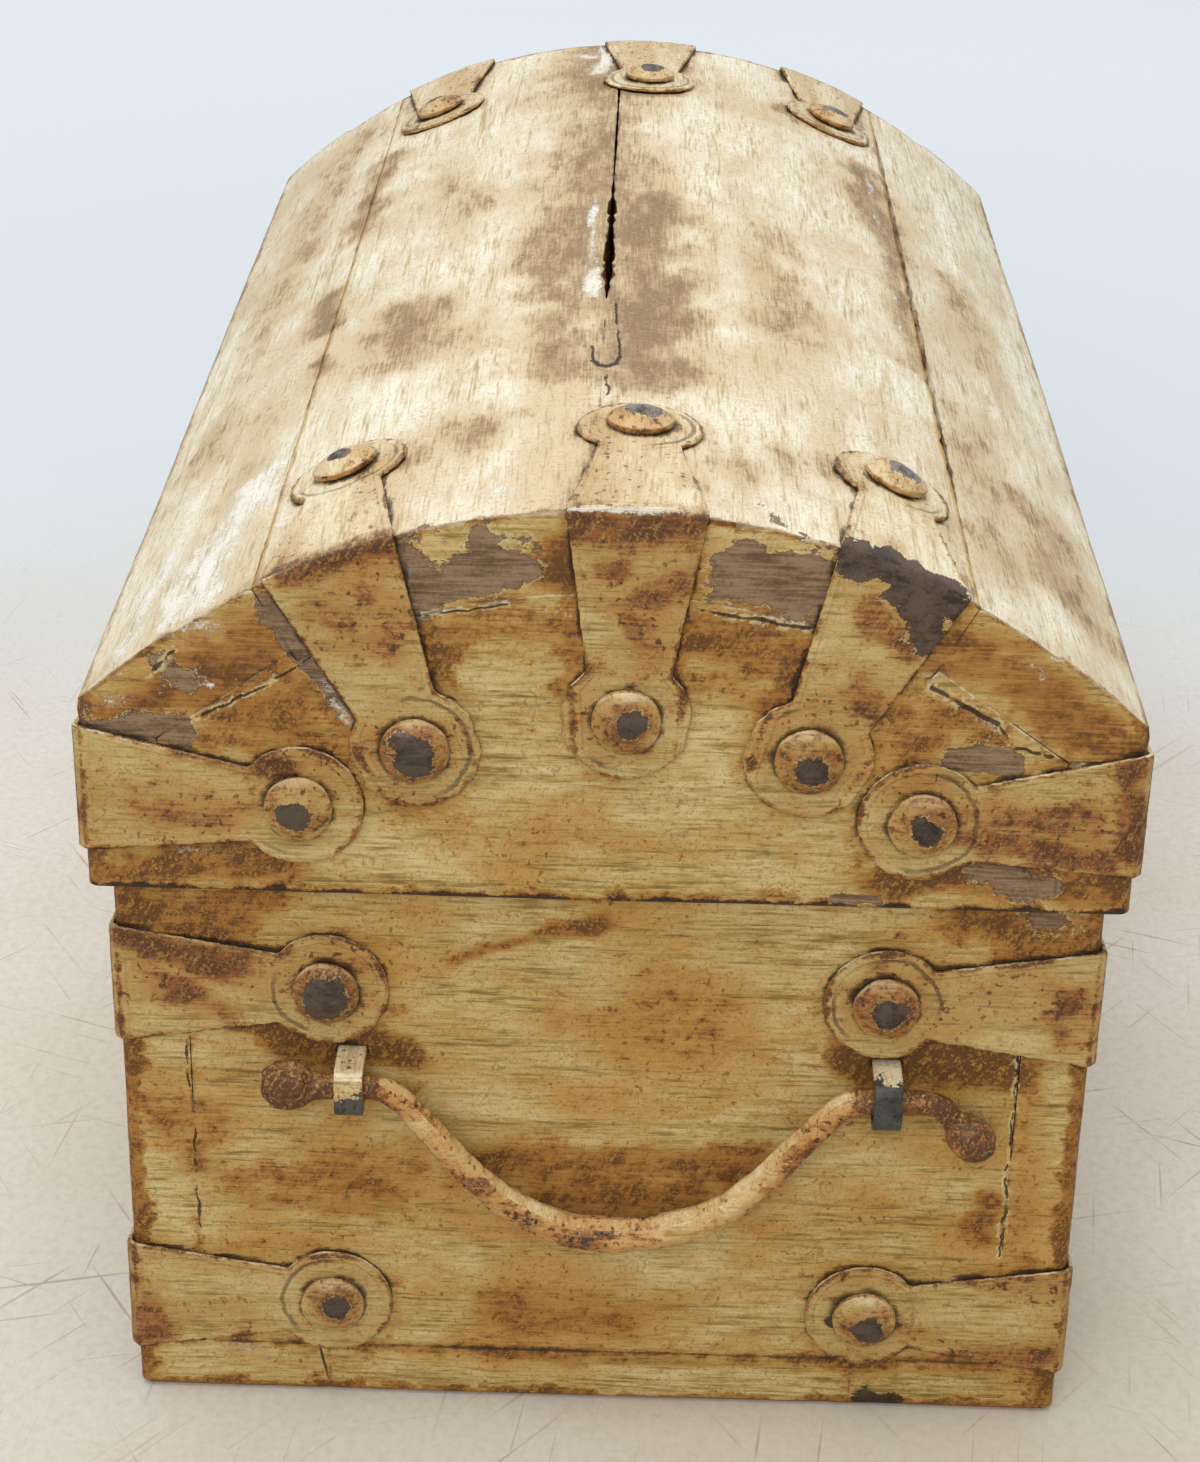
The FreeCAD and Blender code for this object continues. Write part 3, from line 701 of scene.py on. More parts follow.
@dataclass(frozen=True)
class Finish:
    """Old paint over wood or iron, worn through in patches and dirty along its edges, with painted highlight
    on the iron's upper faces and painted shade round the ironwork.
    """

    name: str
    # shade holds the tones of the sides and sun those of what faces up: sun-bleached paint on the wood,
    # painted highlight on the ironwork, nails, handles and clasps
    shade: Palette = END_TONES
    sun: Palette = DOME_TONES
    raw: str = "#92775a"
    raw_dark: str = "#62492f"
    raw_lit: str = ""  # bare places that face the sky, painted lighter as a highlight, where they differ
    chalk: str = "#e2dac6"
    grime: str = "#24180f"
    wear: float = 0.0
    edge_wear: float = 0.85
    edge_reach: float = 2.2 * MM
    # contact_reach: width of the dark line round the ironwork, painted contact shade with dirt
    contact_reach: float = 0.55 * MM
    seam_wear: float = 0.35
    # halo: brown darkening round the ironwork, painted shade shown as worn paint
    halo: float = 0.34
    speck: float = 0.6
    speck_from: float = 0.64
    ragged: float = 1.0
    fleck: float = 0.75
    grain: float = 0.5  # share of the brush strokes in what is bare
    chips: float = 0.0
    rim: float = 0.0
    groove: float = 0.0
    paint_roughness: float = 0.5
    bare_roughness: float = 0.65
    metallic: float = 0.0
    relief: float = 0.5 * MM
    cracks: tuple[Crack, ...] = ()

    # Levels between which each effect sets in
    SKY_RAMP = (0.48, 0.74)
    WORN_RAMP = (0.4, 0.74)
    BARE_RAMP = (0.49, 0.55)
    CHIP_RAMP = (0.57, 0.62)
    FILLER_RAMP = (2.6, 3.15)
    SOOT_RAMP = (1.68, 1.85)

    def build(self, effects: Effects) -> bpy.types.Material:
        """Build the finish as a material.

        Args:
            effects: Shared node groups.

        Returns:
            The material.
        """
        material = bpy.data.materials.new(self.name)
        material.use_nodes = True
        sheet = NodeSheet(material.node_tree)
        place = sheet.add("ShaderNodeTexCoord").outputs["Object"]
        marks = self.marks(sheet, effects, place)
        tones = self.tones(sheet, marks)
        level = self.worn_level(sheet, effects, marks)
        colour = self.paint(sheet, marks, tones)
        colour, gone = self.worn_through(sheet, marks, tones, level, colour)
        colour, bare = self.chipped(sheet, marks, tones, colour)
        colour, filler_and_highlight = self.filled(sheet, marks, colour)
        colour, spots = self.spotted(sheet, marks, tones, colour)
        dirt, flaked = self.dirt(sheet, effects, marks, place)
        if flaked:
            flakes = sheet.maths("MULTIPLY", flaked, sheet.steps(marks["Speck"], 0.47, 0.55, 0.0, 0.75))
            colour = sheet.mix(flakes, colour, tones["light"])
        # Black of the dirt and of the painted shade round the ironwork and along the lid's edge
        colour = sheet.mix(sheet.maths("MULTIPLY", dirt, 0.9), colour, linear(self.grime))

        dull = sheet.maths("MAXIMUM", gone, bare)
        rough = sheet.steps(dull, 0.0, 1.0, self.paint_roughness, self.bare_roughness)
        rough = sheet.total((marks["Fine"], 0.25), (marks["Mottle"], 0.2), start=rough)
        height = sheet.total(
            (marks["Strokes"], 0.3), (marks["Fine"], 0.25), (marks["Mottle"], 0.4), (gone, -0.18),
            (bare, -0.6), (spots, -0.15), (dirt, -0.5), (filler_and_highlight, 0.2),
        )
        if self.rim:
            ridge = sheet.band(sheet.number("edge_gap"), 1.1 * MM, 0.9 * MM)
            height = sheet.total((ridge, self.rim), start=height)
        bump = sheet.add("ShaderNodeBump", {"Height": height, "Distance": self.relief, "Strength": 1.0})
        sheet.fill(material.node_tree.nodes["Principled BSDF"], {
            "Base Color": colour,
            "Roughness": sheet.maths("SUBTRACT", rough, 0.22),
            "Metallic": self.metallic,
            "Specular IOR Level": 0.34,
            "Normal": bump.outputs[0],
        })
        return material

    def tones(self, sheet: NodeSheet, marks: Sockets) -> Sockets:
        """Tones by name, each turning from that of the sides to that of what faces the sky: sun-bleached
        paint on the wood, painted highlight on the iron.

        Args:
            sheet: Sheet of the material.
            marks: Brush marks.

        Returns:
            The paint's tones, and that of bare wood or iron as raw.
        """
        sky = sheet.total((marks["Mottle"], 0.3), start=sheet.number("sky"))
        sky = sheet.steps(sky, *self.SKY_RAMP)
        pairs = {
            tone.name: (linear(getattr(self.shade, tone.name)), linear(getattr(self.sun, tone.name)))
            for tone in fields(Palette)
        }
        tones = {name: sheet.mix(sky, shade, sun) for name, (shade, sun) in pairs.items()}
        tones["raw"] = sheet.mix(sky, linear(self.raw), linear(self.raw_lit or self.raw))
        return tones

    @staticmethod
    def marks(sheet: NodeSheet, effects: Effects, place: object) -> Sockets:
        """Brush marks, which run across the ends and along the other sides.

        Args:
            sheet: Sheet of the material.
            effects: Shared node groups.
            place: Object coordinates.

        Returns:
            The brushwork group's outputs by name.
        """
        endward = sheet.steps(sheet.number("endward"), 0.6, 0.65)
        vectors = {
            name: sheet.mix_vectors(
                endward, sheet.vector("MULTIPLY", place, (length, 1.0, 1.0)),
                sheet.vector("MULTIPLY", place, (1.0, breadth, 1.0)),
            )
            for name, length, breadth in (("drawn", 0.38, 0.6), ("stretched", 0.06, 0.06))
        }
        brush = sheet.group(effects.brushwork, place=place, **vectors)
        return {socket.name: socket for socket in brush.outputs}

    @staticmethod
    def paint(sheet: NodeSheet, marks: Sockets, tones: Sockets) -> Socket:
        """Colour of the paint where it is whole.

        Args:
            sheet: Sheet of the material.
            marks: Brush marks.
            tones: Tones of the paint.

        Returns:
            The colour.
        """
        brushed = sheet.total((marks["Bands"], 0.3), (marks["Strokes"], 0.45), (marks["Mottle"], 0.25))
        colour = sheet.mix(sheet.steps(brushed, 0.43, 0.57), tones["middle"], tones["light"])
        glaze = sheet.total((marks["Broad"], 0.6), (marks["Bands"], 0.25), (marks["Fine"], 0.15))
        colour = sheet.mix(sheet.steps(glaze, 0.44, 0.59, 0.0, 0.75), colour, tones["gold"])
        colour = sheet.mix(sheet.steps(brushed, 0.37, 0.48, 0.9, 0.0), colour, tones["dark"])
        grains = sheet.steps(sheet.total((marks["Fine"], 0.6), (marks["Speck"], 0.4)), 0.38, 0.48, 0.5, 0.0)
        colour = sheet.mix(grains, colour, tones["dark"])
        rubbed = sheet.steps(marks["Scratch"], 0.6, 0.7)
        rubbed = sheet.maths("MULTIPLY", rubbed, sheet.steps(marks["Broad"], 0.46, 0.6, 0.0, 0.5))
        colour = sheet.mix(rubbed, colour, tones["dark"])
        hairs = sheet.band(marks["Hair"], 0.5, 0.022)
        hairs = sheet.maths("MULTIPLY", hairs, sheet.steps(marks["Mottle"], 0.47, 0.58))
        return sheet.mix(sheet.maths("MULTIPLY", hairs, 0.5), colour, tones["dark"])

    def worn_level(self, sheet: NodeSheet, effects: Effects, marks: Sockets) -> Socket:
        """How far the paint is gone, from the kept patches, the edges and the marks, with a brown halo round
        the ironwork that is painted shade.

        Args:
            sheet: Sheet of the material.
            effects: Shared node groups.
            marks: Brush marks.

        Returns:
            About zero where the paint is whole and one where the ground shows.
        """
        edge = self.gathered(sheet, effects, "edge_gap", self.edge_reach, marks["Mottle"], 2.5)
        # Brown halo round the ironwork: painted shade
        near = self.gathered(sheet, effects, "iron_gap", 4.5 * MM, marks["Mottle"], 2.0)
        seam = self.gathered(sheet, effects, "seam_gap", 1.6 * MM, marks["Mottle"], 3.0)
        level = sheet.maths("MAXIMUM", sheet.number("worn"), sheet.maths("MULTIPLY", edge, self.edge_wear))
        level = sheet.maths("MAXIMUM", level, sheet.maths("MULTIPLY", seam, self.seam_wear))
        shares = {
            "Mottle": 1.6 * self.ragged, "Broad": 1.3 * self.ragged, "Strokes": 1.3,
            "Speck": 0.9 * self.fleck, "Fine": 1.05 * self.fleck,
        }
        terms = [(marks[key], share) for key, share in shares.items()]
        level = sheet.total((near, self.halo), *terms, start=level)
        return sheet.maths("ADD", level, self.wear - 0.5 * sum(shares.values()))

    def worn_through(self, sheet: NodeSheet, marks: Sockets, tones: Sockets, level: Socket,
                     colour: Socket) -> tuple[Socket, Socket]:
        """Let the ground come through the paint, from a thin stain to brown wood or rust.

        Args:
            sheet: Sheet of the material.
            marks: Brush marks.
            tones: Tones of the paint.
            level: How far the paint is gone.
            colour: Colour of the whole paint.

        Returns:
            The colour with its wear, and a mask of the ground.
        """
        gone = sheet.steps(level, *self.WORN_RAMP)
        deep = sheet.total((marks["Speck"], 1.7 * self.fleck), (marks["Mottle"], 0.8), start=level)
        deepest = 0.95 + 0.85 * self.fleck
        deep = sheet.steps(deep, deepest, deepest + 0.5, 0.0, 0.9)
        ground = sheet.mix(deep, tones["under"], tones["under_dark"])
        flecks = sheet.total((marks["Fine"], 0.45), (marks["Scratch"], 0.3), (marks["Speck"], 0.25))
        ground = sheet.mix(sheet.steps(flecks, 0.49, 0.6, 0.0, self.fleck), ground, tones["gold"])
        colour = sheet.mix(sheet.steps(level, 0.1, 0.5, 0.0, 0.7), colour, tones["gold"])
        colour = sheet.mix(sheet.steps(level, 0.3, 0.62, 0.0, 0.4), colour, tones["dark"])
        return sheet.mix(sheet.maths("MULTIPLY", gone, 0.95), colour, ground), gone

    def chipped(self, sheet: NodeSheet, marks: Sockets, tones: Sockets,
                colour: Socket) -> tuple[Socket, Socket]:
        """Show bare wood or iron with a crisp rim of broken paint.

        Args:
            sheet: Sheet of the material.
            marks: Brush marks.
            tones: Tones of the paint.
            colour: Colour round the bare places.

        Returns:
            The colour with its chips, and a mask of the bare places.
        """
        level = sheet.total(
            (marks["Mottle"], 1.7), (marks["Broad"], 0.6), (marks["Fine"], 0.3), start=sheet.number("raw")
        )
        level = sheet.maths("ADD", level, -1.3)
        if self.chips:
            chipped = sheet.total((marks["Mottle"], 0.6), (marks["Broad"], 0.4))
            chipped = sheet.steps(chipped, *self.CHIP_RAMP)
            level = sheet.maths("MAXIMUM", level, sheet.maths("MULTIPLY", chipped, self.chips))
        bare = sheet.steps(level, *self.BARE_RAMP)
        broken = sheet.band(level, 0.46, 0.06)
        broken = sheet.maths("MULTIPLY", broken, sheet.steps(marks["Speck"], 0.47, 0.56))
        grain = sheet.total(
            (marks["Strokes"], self.grain), (marks["Mottle"], 0.8 - self.grain), (marks["Fine"], 0.2)
        )
        bared = sheet.mix(sheet.steps(grain, 0.4, 0.58), linear(self.raw_dark), tones["raw"])
        colour = sheet.mix(bare, colour, bared)
        return sheet.mix(sheet.maths("MULTIPLY", broken, 0.5), colour, tones["light"]), bare

    def filled(self, sheet: NodeSheet, marks: Sockets, colour: Socket) -> tuple[Socket, Socket]:
        """Lay white filling, bleached paint and painted highlight over a colour.

        Args:
            sheet: Sheet of the material.
            marks: Brush marks.
            colour: Colour under it.

        Returns:
            The colour with them laid on, and a mask of them.
        """
        filler_and_highlight = sheet.total(
            (marks["Mottle"], 2.0), (marks["Strokes"], 0.9), (marks["Fine"], 1.2), start=sheet.number("chalk")
        )
        filler_and_highlight = sheet.steps(filler_and_highlight, *self.FILLER_RAMP)
        return sheet.mix(sheet.maths("MULTIPLY", filler_and_highlight, 0.85), colour, linear(self.chalk)), filler_and_highlight

    def spotted(self, sheet: NodeSheet, marks: Sockets, tones: Sockets,
                colour: Socket) -> tuple[Socket, Socket]:
        """Set small dark spots on a colour, most of them where the broad marks are strong.

        Args:
            sheet: Sheet of the material.
            marks: Brush marks.
            tones: Tones of the paint.
            colour: Colour under them.

        Returns:
            The colour with its spots, and a mask of the spots.
        """
        spots = sheet.steps(marks["Speck"], self.speck_from, self.speck_from + 0.05)
        spots = sheet.maths("MULTIPLY", spots, sheet.steps(marks["Broad"], 0.44, 0.58, 0.15, self.speck))
        return sheet.mix(spots, colour, tones["under_dark"]), spots

    def dirt(self, sheet: NodeSheet, effects: Effects, marks: Sockets,
             place: object) -> tuple[Socket, Socket | None]:
        """Black soiling in the seams and the cracks, dark arcs on the pads, and painted shade with soiling
        round the ironwork and along the lid's lower edge.

        Args:
            sheet: Sheet of the material.
            effects: Shared node groups.
            marks: Brush marks.
            place: Object coordinates.

        Returns:
            The level of the soiling and painted shade, and that of the flaked paint along the cracks, or None
            without cracks.
        """
        # Thin dark line round the ironwork and round the nail heads: painted contact shade together with dirt
        contact = self.gathered(sheet, effects, "iron_gap", self.contact_reach, marks["Mottle"], 3.5)
        line = self.gathered(sheet, effects, "seam_gap", 0.4 * MM, marks["Mottle"], 4.0)
        line = sheet.maths("MULTIPLY", line, sheet.steps(marks["Broad"], 0.42, 0.54, 0.35, 0.9))
        soot = sheet.total((marks["Mottle"], 2.0), (marks["Fine"], 0.4), start=sheet.number("grime"))
        soot = sheet.steps(soot, *self.SOOT_RAMP)
        level = sheet.maths("MAXIMUM", sheet.maths("MAXIMUM", contact, line), soot)
        if self.groove:
            arcs = sheet.steps(sheet.noise(place, 42.0, 1.0), 0.5, 0.58, 0.0, self.groove)
            ring = sheet.total((marks["Mottle"], 3 * MM), start=sheet.number("ring"))
            arcs = sheet.maths("MULTIPLY", arcs, sheet.band(ring, 12.0 * MM, 0.6 * MM))
            level = sheet.maths("MAXIMUM", level, arcs)
        if self.cracks:
            return self.cracked(sheet, effects, place, level)
        return level, None

    def cracked(self, sheet: NodeSheet, effects: Effects, place: object,
                level: Socket) -> tuple[Socket, Socket | None]:
        """Add the cracks to the dirt.

        Args:
            sheet: Sheet of the material.
            effects: Shared node groups.
            place: Object coordinates.
            level: Level of the dirt.

        Returns:
            The level with the cracks, and that of the flaked paint along them, or None without any.
        """
        wander = sheet.add(
            "ShaderNodeTexNoise", {"Vector": place, "Scale": 160.0, "Detail": 3.0, "Roughness": 0.6}
        ).outputs["Color"]
        wander = sheet.vector("SUBTRACT", wander, (0.5, 0.5, 0.5))
        flaked = None
        for crack in self.cracks:
            start, end = Vector(crack.start) * MM, Vector(crack.end) * MM
            one = sheet.group(
                effects.crack, place=place, wander=wander, start=start, run=end - start,
                width=crack.width * MM, wobble=crack.wobble * 2 * MM,
            )
            level = sheet.maths("MAXIMUM", level, one.outputs["Level"])
            if crack.flaked:
                edge = one.outputs["Flaked"]
                flaked = sheet.maths("MAXIMUM", flaked, edge) if flaked else edge
        return level, flaked

    @staticmethod
    def gathered(sheet: NodeSheet, effects: Effects, gap: str, reach: float, mark: object,
                 ragged: float) -> Socket:
        """Level of the grime group on one of the distances kept with the mesh."""
        node = sheet.group(effects.grime, gap=sheet.number(gap), reach=reach, ragged=ragged, noise=mark)
        return node.outputs["Level"]


# Cracks of the boards: the cut tongue on the crown, seams of the end, and splits in the paint.
BOARD_CRACKS = (
    Crack((-58, 2.4, 207), (-93, 0.9, 207), 0.45, 0.8),
    Crack((-93, 0.9, 207), (-97.2, 1.7, 207), 0.8, 0.3),
    Crack((-97.2, 1.7, 207), (-98.8, 3.3, 207), 1.5, 0.3),
    Crack((-98.8, 3.3, 207), (-98.2, 5.1, 207), 1.6, 0.3),
    Crack((-98.2, 5.1, 207), (-95.4, 6.4, 207), 1.2, 0.3),
    Crack((-95.4, 6.4, 207), (-86, 7.0, 207), 0.55, 0.6),
    Crack((-104, 3.6, 207), (-116, 2.6, 207), 0.5, 1.8),
    Crack((-178, 88, 171), (-178, 83, 176), 0.6, 2.0, True),
    Crack((-178, 79, 162), (-178, 64, 171), 0.5, 1.5, True),
    Crack((-178, 64, 171), (-178, 57, 176), 0.4, 1.5),
    Crack((-178, 42, 184), (-178, 20, 187.5), 0.4, 0.9, True),
    Crack((-178, -16, 187.5), (-178, -42, 183.5), 0.7, 0.9, True),
    Crack((-178, -60, 173), (-178, -73, 165.5), 0.9, 0.7, True),
    Crack((-178, -73, 165.5), (-178, -76, 161), 0.5, 1.0, True),
    Crack((-178, -76, 161), (-178, -84, 159), 0.6, 1.4),
    Crack((-174, 84.5, 92), (-174, 83.4, 40), 0.45, 1.5),
    Crack((-174, -83.6, 92), (-174, -83.4, 40), 0.5, 1.9, True),
    Crack((-174, 59, 11), (-174, 57.5, 3), 0.5, 0.6),
)

WOOD = Finish("wood paint", cracks=BOARD_CRACKS)
DOME_WOOD = Finish(
    "dome paint", cracks=BOARD_CRACKS, chalk="#f3eee2", speck=0.35, ragged=0.7, fleck=0.35,
    edge_wear=0.7, edge_reach=1.6 * MM, seam_wear=0.2,
)
STRAP = Finish(
    "strap paint", STRAP_TONES, STRAP_TOP_TONES, raw="#5d493a", raw_dark="#30241c", edge_wear=0.7,
    edge_reach=0.9 * MM, contact_reach=0.75 * MM, speck=0.8, speck_from=0.62, ragged=1.15, wear=0.16,
    rim=0.5, groove=0.6, halo=0.1, grain=0.1, paint_roughness=0.42, bare_roughness=0.5, relief=0.4 * MM,
)
NAIL = Finish(
    "nail paint", STRAP_TONES, NAIL_TOP_TONES, raw="#554638", raw_dark="#2a211b", raw_lit="#8b8178",
    edge_wear=0.5, edge_reach=0.8 * MM, speck=0.9, speck_from=0.6, wear=0.3, ragged=1.25, grain=0.1,
    paint_roughness=0.4, bare_roughness=0.45, relief=0.4 * MM,
)
# The second palette is painted highlight on the bar's upper faces
HANDLE = Finish(
    "handle paint", Palette("#dcc591", "#c9a468", "#a0703a", "#bf8844", "#8a4f26", "#462919"),
    Palette("#e6d6aa", "#d5b980", "#b48a54", "#cb9c5a", "#96602f", "#4a2c18"),
    raw="#4a3a33", raw_dark="#211815", speck=0.9, speck_from=0.59, ragged=1.4, wear=0.3, chips=0.75,
    grain=0.1, paint_roughness=0.42, bare_roughness=0.5, relief=0.5 * MM,
)
# Raw tones: bare iron, and the painted shade and dark reflection on the clasps' lower halves; top tones:
# painted highlight
CLASP = Finish(
    "clasp paint", Palette("#ddcb9c", "#c8ac74", "#96723f", "#b88f50", "#7a4a26", "#33231a"),
    STRAP_TOP_TONES, raw="#4b4a45", raw_dark="#2a2826", wear=0.0, ragged=0.9, grain=0.1, speck=0.9,
    speck_from=0.6, edge_reach=0.5 * MM, paint_roughness=0.38, bare_roughness=0.32, relief=0.3 * MM,
)
BARE = Finish(
    "bare iron", Palette("#7d6a50", "#5b4a3a", "#41352b", "#6a4a2e", "#3c2a20", "#1d1612"),
    Palette("#8d7a5e", "#6b5946", "#4a3d32", "#785836", "#463226", "#241b16"), wear=0.35, metallic=0.4,
    paint_roughness=0.42, bare_roughness=0.5, relief=0.3 * MM,
)


# The chest


def body_of_node(node: str) -> str:
    """Name of the body that a CAD node belongs to."""
    return next(body for body, names in frame["record"]["behaviour"]["bodies"].items() if node in names)


def fitted(piece: bpy.types.Object, slot: str, material: bpy.types.Material, *nodes: str) -> None:
    """Dress a finished piece, set it on its body and let it stand for CAD nodes.

    Args:
        piece: Finished piece.
        slot: Material slot of the record. Not used.
        material: Its material.
        nodes: CAD nodes that it stands for.
    """
    piece.data.materials.clear()
    piece.data.materials.append(material)
    smooth_shaded(piece)
    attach(piece, body_of_node(nodes[0]))
    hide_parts(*nodes)
    log.info("%s: %d faces", piece.name, len(piece.data.polygons))


@dataclass
class Boards:
    """The painted boards of the carcass and the lid."""

    effects: Effects
    patches: tuple[Patch, ...]
    openings: tuple[Opening, ...]
    iron: BVHTree
    step: float = 2.2 * MM
    end_step: float = 1.7 * MM
    edge_search: float = 1.2 * MM
    free_gap: float = 1.1 * MM  # an edge this far from the boards beside it is free
    crown_radius: float = 140.2 * MM
    crown_bore: float = 123.7 * MM
    crown_centre: float = 66.8 * MM
    crown_sag: float = 0.5 * MM  # how far a facet lies off the true round at most
    plank_turn: float = math.radians(28.9)
    seam_shift: float = 4.5 * MM
    seam_gap: float = 0.6 * MM  # a vertex this close to the board beside it is on a seam
    least_opening: float = 0.05 * MM
    dents: Dents = ((70 * MM, 0.7 * MM), (9 * MM, 0.22 * MM))
    dent_gap: float = 0.3 * MM  # no dents this close to another board
    dent_rise: float = 5 * MM  # distance from there to full dents

    def build(self) -> None:
        """Build every board as a worn piece."""
        boards = {
            body: [n for n in names if self.is_board(n)]
            for body, names in frame["record"]["behaviour"]["bodies"].items()
        }
        every = [n for names in boards.values() for n in names]
        wood, dome = WOOD.build(self.effects), DOME_WOOD.build(self.effects)
        for body, names in boards.items():
            for node in names:
                joined = tree_of(*(frame["nodes"][n] for n in names if n != node))
                others = tree_of(*(frame["nodes"][n] for n in every if n != node))
                piece = self.board(node, joined, others)
                plank = "crown" in node or "eave" in node
                fitted(piece, "bleached_wood" if plank else "painted_wood", dome if plank else wood, node)

    @staticmethod
    def is_board(node: str) -> bool:
        """Whether a node is a board."""
        boards = ("plank", "rail", "_end", "carcass_front", "carcass_back")
        return "strap" not in node and any(key in node for key in boards)

    def board(self, node: str, joined: BVHTree | None, others: BVHTree | None) -> bpy.types.Object:
        """Build one board with its seams closed by paint but for the open stretches.

        Args:
            node: CAD node of the board.
            joined: Surfaces of the boards of the same body.
            others: Surfaces of all the other boards.

        Returns:
            The board with the values of its wear.
        """
        piece = copy_of_node(node, f"{node}_worn")
        edges = np.array(sharp_points(piece), dtype=np.float32)
        edge_seams, _ = nearest_on(edges, joined, self.edge_search)
        free = [Vector(p) for p in edges[edge_seams > self.free_gap]]
        cut_grid(piece, self.end_step if node.endswith("_end") else self.step)
        self.true_round(piece)
        seam_gap, near = nearest_on(places_of(piece), joined)
        reach_gap, _ = nearest_on(places_of(piece), others)
        edge_gap = gaps_to_points(places_of(piece), free)
        self.close_seams(piece, seam_gap, near)
        if "crown" in node:
            self.shift_seam(piece)
        set_weights(piece, "dented", (reach_gap - self.dent_gap) / self.dent_rise)
        dent(piece, self.dents, 0.5, vertex_group="dented")
        piece.vertex_groups.clear()
        places = places_of(piece)
        places[:, 2] = np.maximum(places[:, 2], CAD_BOX[0][2])
        set_places(piece, places)
        iron_gap, _ = nearest_on(places_of(piece), self.iron)
        wear_in(piece, self.patches, edge_gap=edge_gap, seam_gap=seam_gap, iron_gap=iron_gap)
        if body_of_node(node) == "carcass":
            store_values(piece, "sky", np.zeros(len(places)))  # the lid keeps the sun off it
        return piece

    def true_round(self, piece: bpy.types.Object) -> None:
        """Bring the vertices of the crown's facets onto its true round."""
        places = places_of(piece)
        across, up = places[:, 1], places[:, 2] - self.crown_centre
        from_axis = np.hypot(across, up)
        for radius in (self.crown_radius, self.crown_bore):
            on_round = (np.abs(from_axis - radius) < self.crown_sag) & (up > 0.6 * radius)
            share = np.where(on_round, radius / from_axis, 1.0)
            across, up = across * share, up * share
        places[:, 1], places[:, 2] = across, up + self.crown_centre
        set_places(piece, places)

    def close_seams(self, piece: bpy.types.Object, gaps: np.ndarray, near: np.ndarray) -> None:
        """Let the paint bridge the seams, and pull them apart where they stand open."""
        places = places_of(piece)
        widths = np.zeros(len(places), dtype=np.float32)
        for opening in self.openings:
            widths = np.maximum(widths, opening.widths(places))
        for index in np.nonzero(gaps < self.seam_gap)[0]:
            place = Vector(places[index])
            towards = Vector(near[index]) - place
            if widths[index] > self.least_opening and towards.length > 0:
                ragged = 0.75 + 0.9 * noise.noise(place * 230) + 0.5 * noise.noise(place * 520)
                moved = place - towards.normalized() * float(widths[index]) * 0.5 * ragged
            else:
                shut = 1.0 if noise.noise(place * 45) < 0.22 else 0.3
                moved = place + towards * 0.5 * shut
            places[index] = moved
        set_places(piece, places)

    def shift_seam(self, piece: bpy.types.Object) -> None:
        """Turn a crown plank about the crown's axis so that the middle seam lies off centre."""
        places = places_of(piece)
        across, up = places[:, 1], places[:, 2] - self.crown_centre
        turn, from_axis = np.arctan2(across, up), np.hypot(across, up)
        share = 1 - np.clip(np.abs(turn) / self.plank_turn, 0, 1)
        turn = turn + self.seam_shift / self.crown_radius * share
        places[:, 1] = from_axis * np.sin(turn)
        places[:, 2] = from_axis * np.cos(turn) + self.crown_centre
        set_places(piece, places)


@dataclass(frozen=True)
class Forging:
    """How a closed CAD solid becomes worn iron, with a fine mesh, soft edges and hammer marks."""

    fineness: float  # size of the faces
    rounds: int  # times that the edges are softened
    dents: Dents

    def forge(self, piece: bpy.types.Object) -> None:
        """Work a piece over in place."""
        apply_modifier(piece, "REMESH", mode="VOXEL", voxel_size=self.fineness, use_smooth_shade=True)
        apply_modifier(piece, "SMOOTH", factor=0.5, iterations=self.rounds)
        dent(piece, self.dents)


STRAP_FORGING = Forging(0.55 * MM, 3, ((24 * MM, 0.35 * MM), (4 * MM, 0.2 * MM)))
LEAF_FORGING = Forging(0.45 * MM, 2, ((4 * MM, 0.15 * MM),))
CLASP_FORGING = Forging(0.3 * MM, 5, ((4 * MM, 0.25 * MM),))
SMALL_FORGING = Forging(0.4 * MM, 3, ((3 * MM, 0.15 * MM),))
BAR_FORGING = Forging(0.5 * MM, 8, ((9 * MM, 0.7 * MM), (2.6 * MM, 0.4 * MM)))


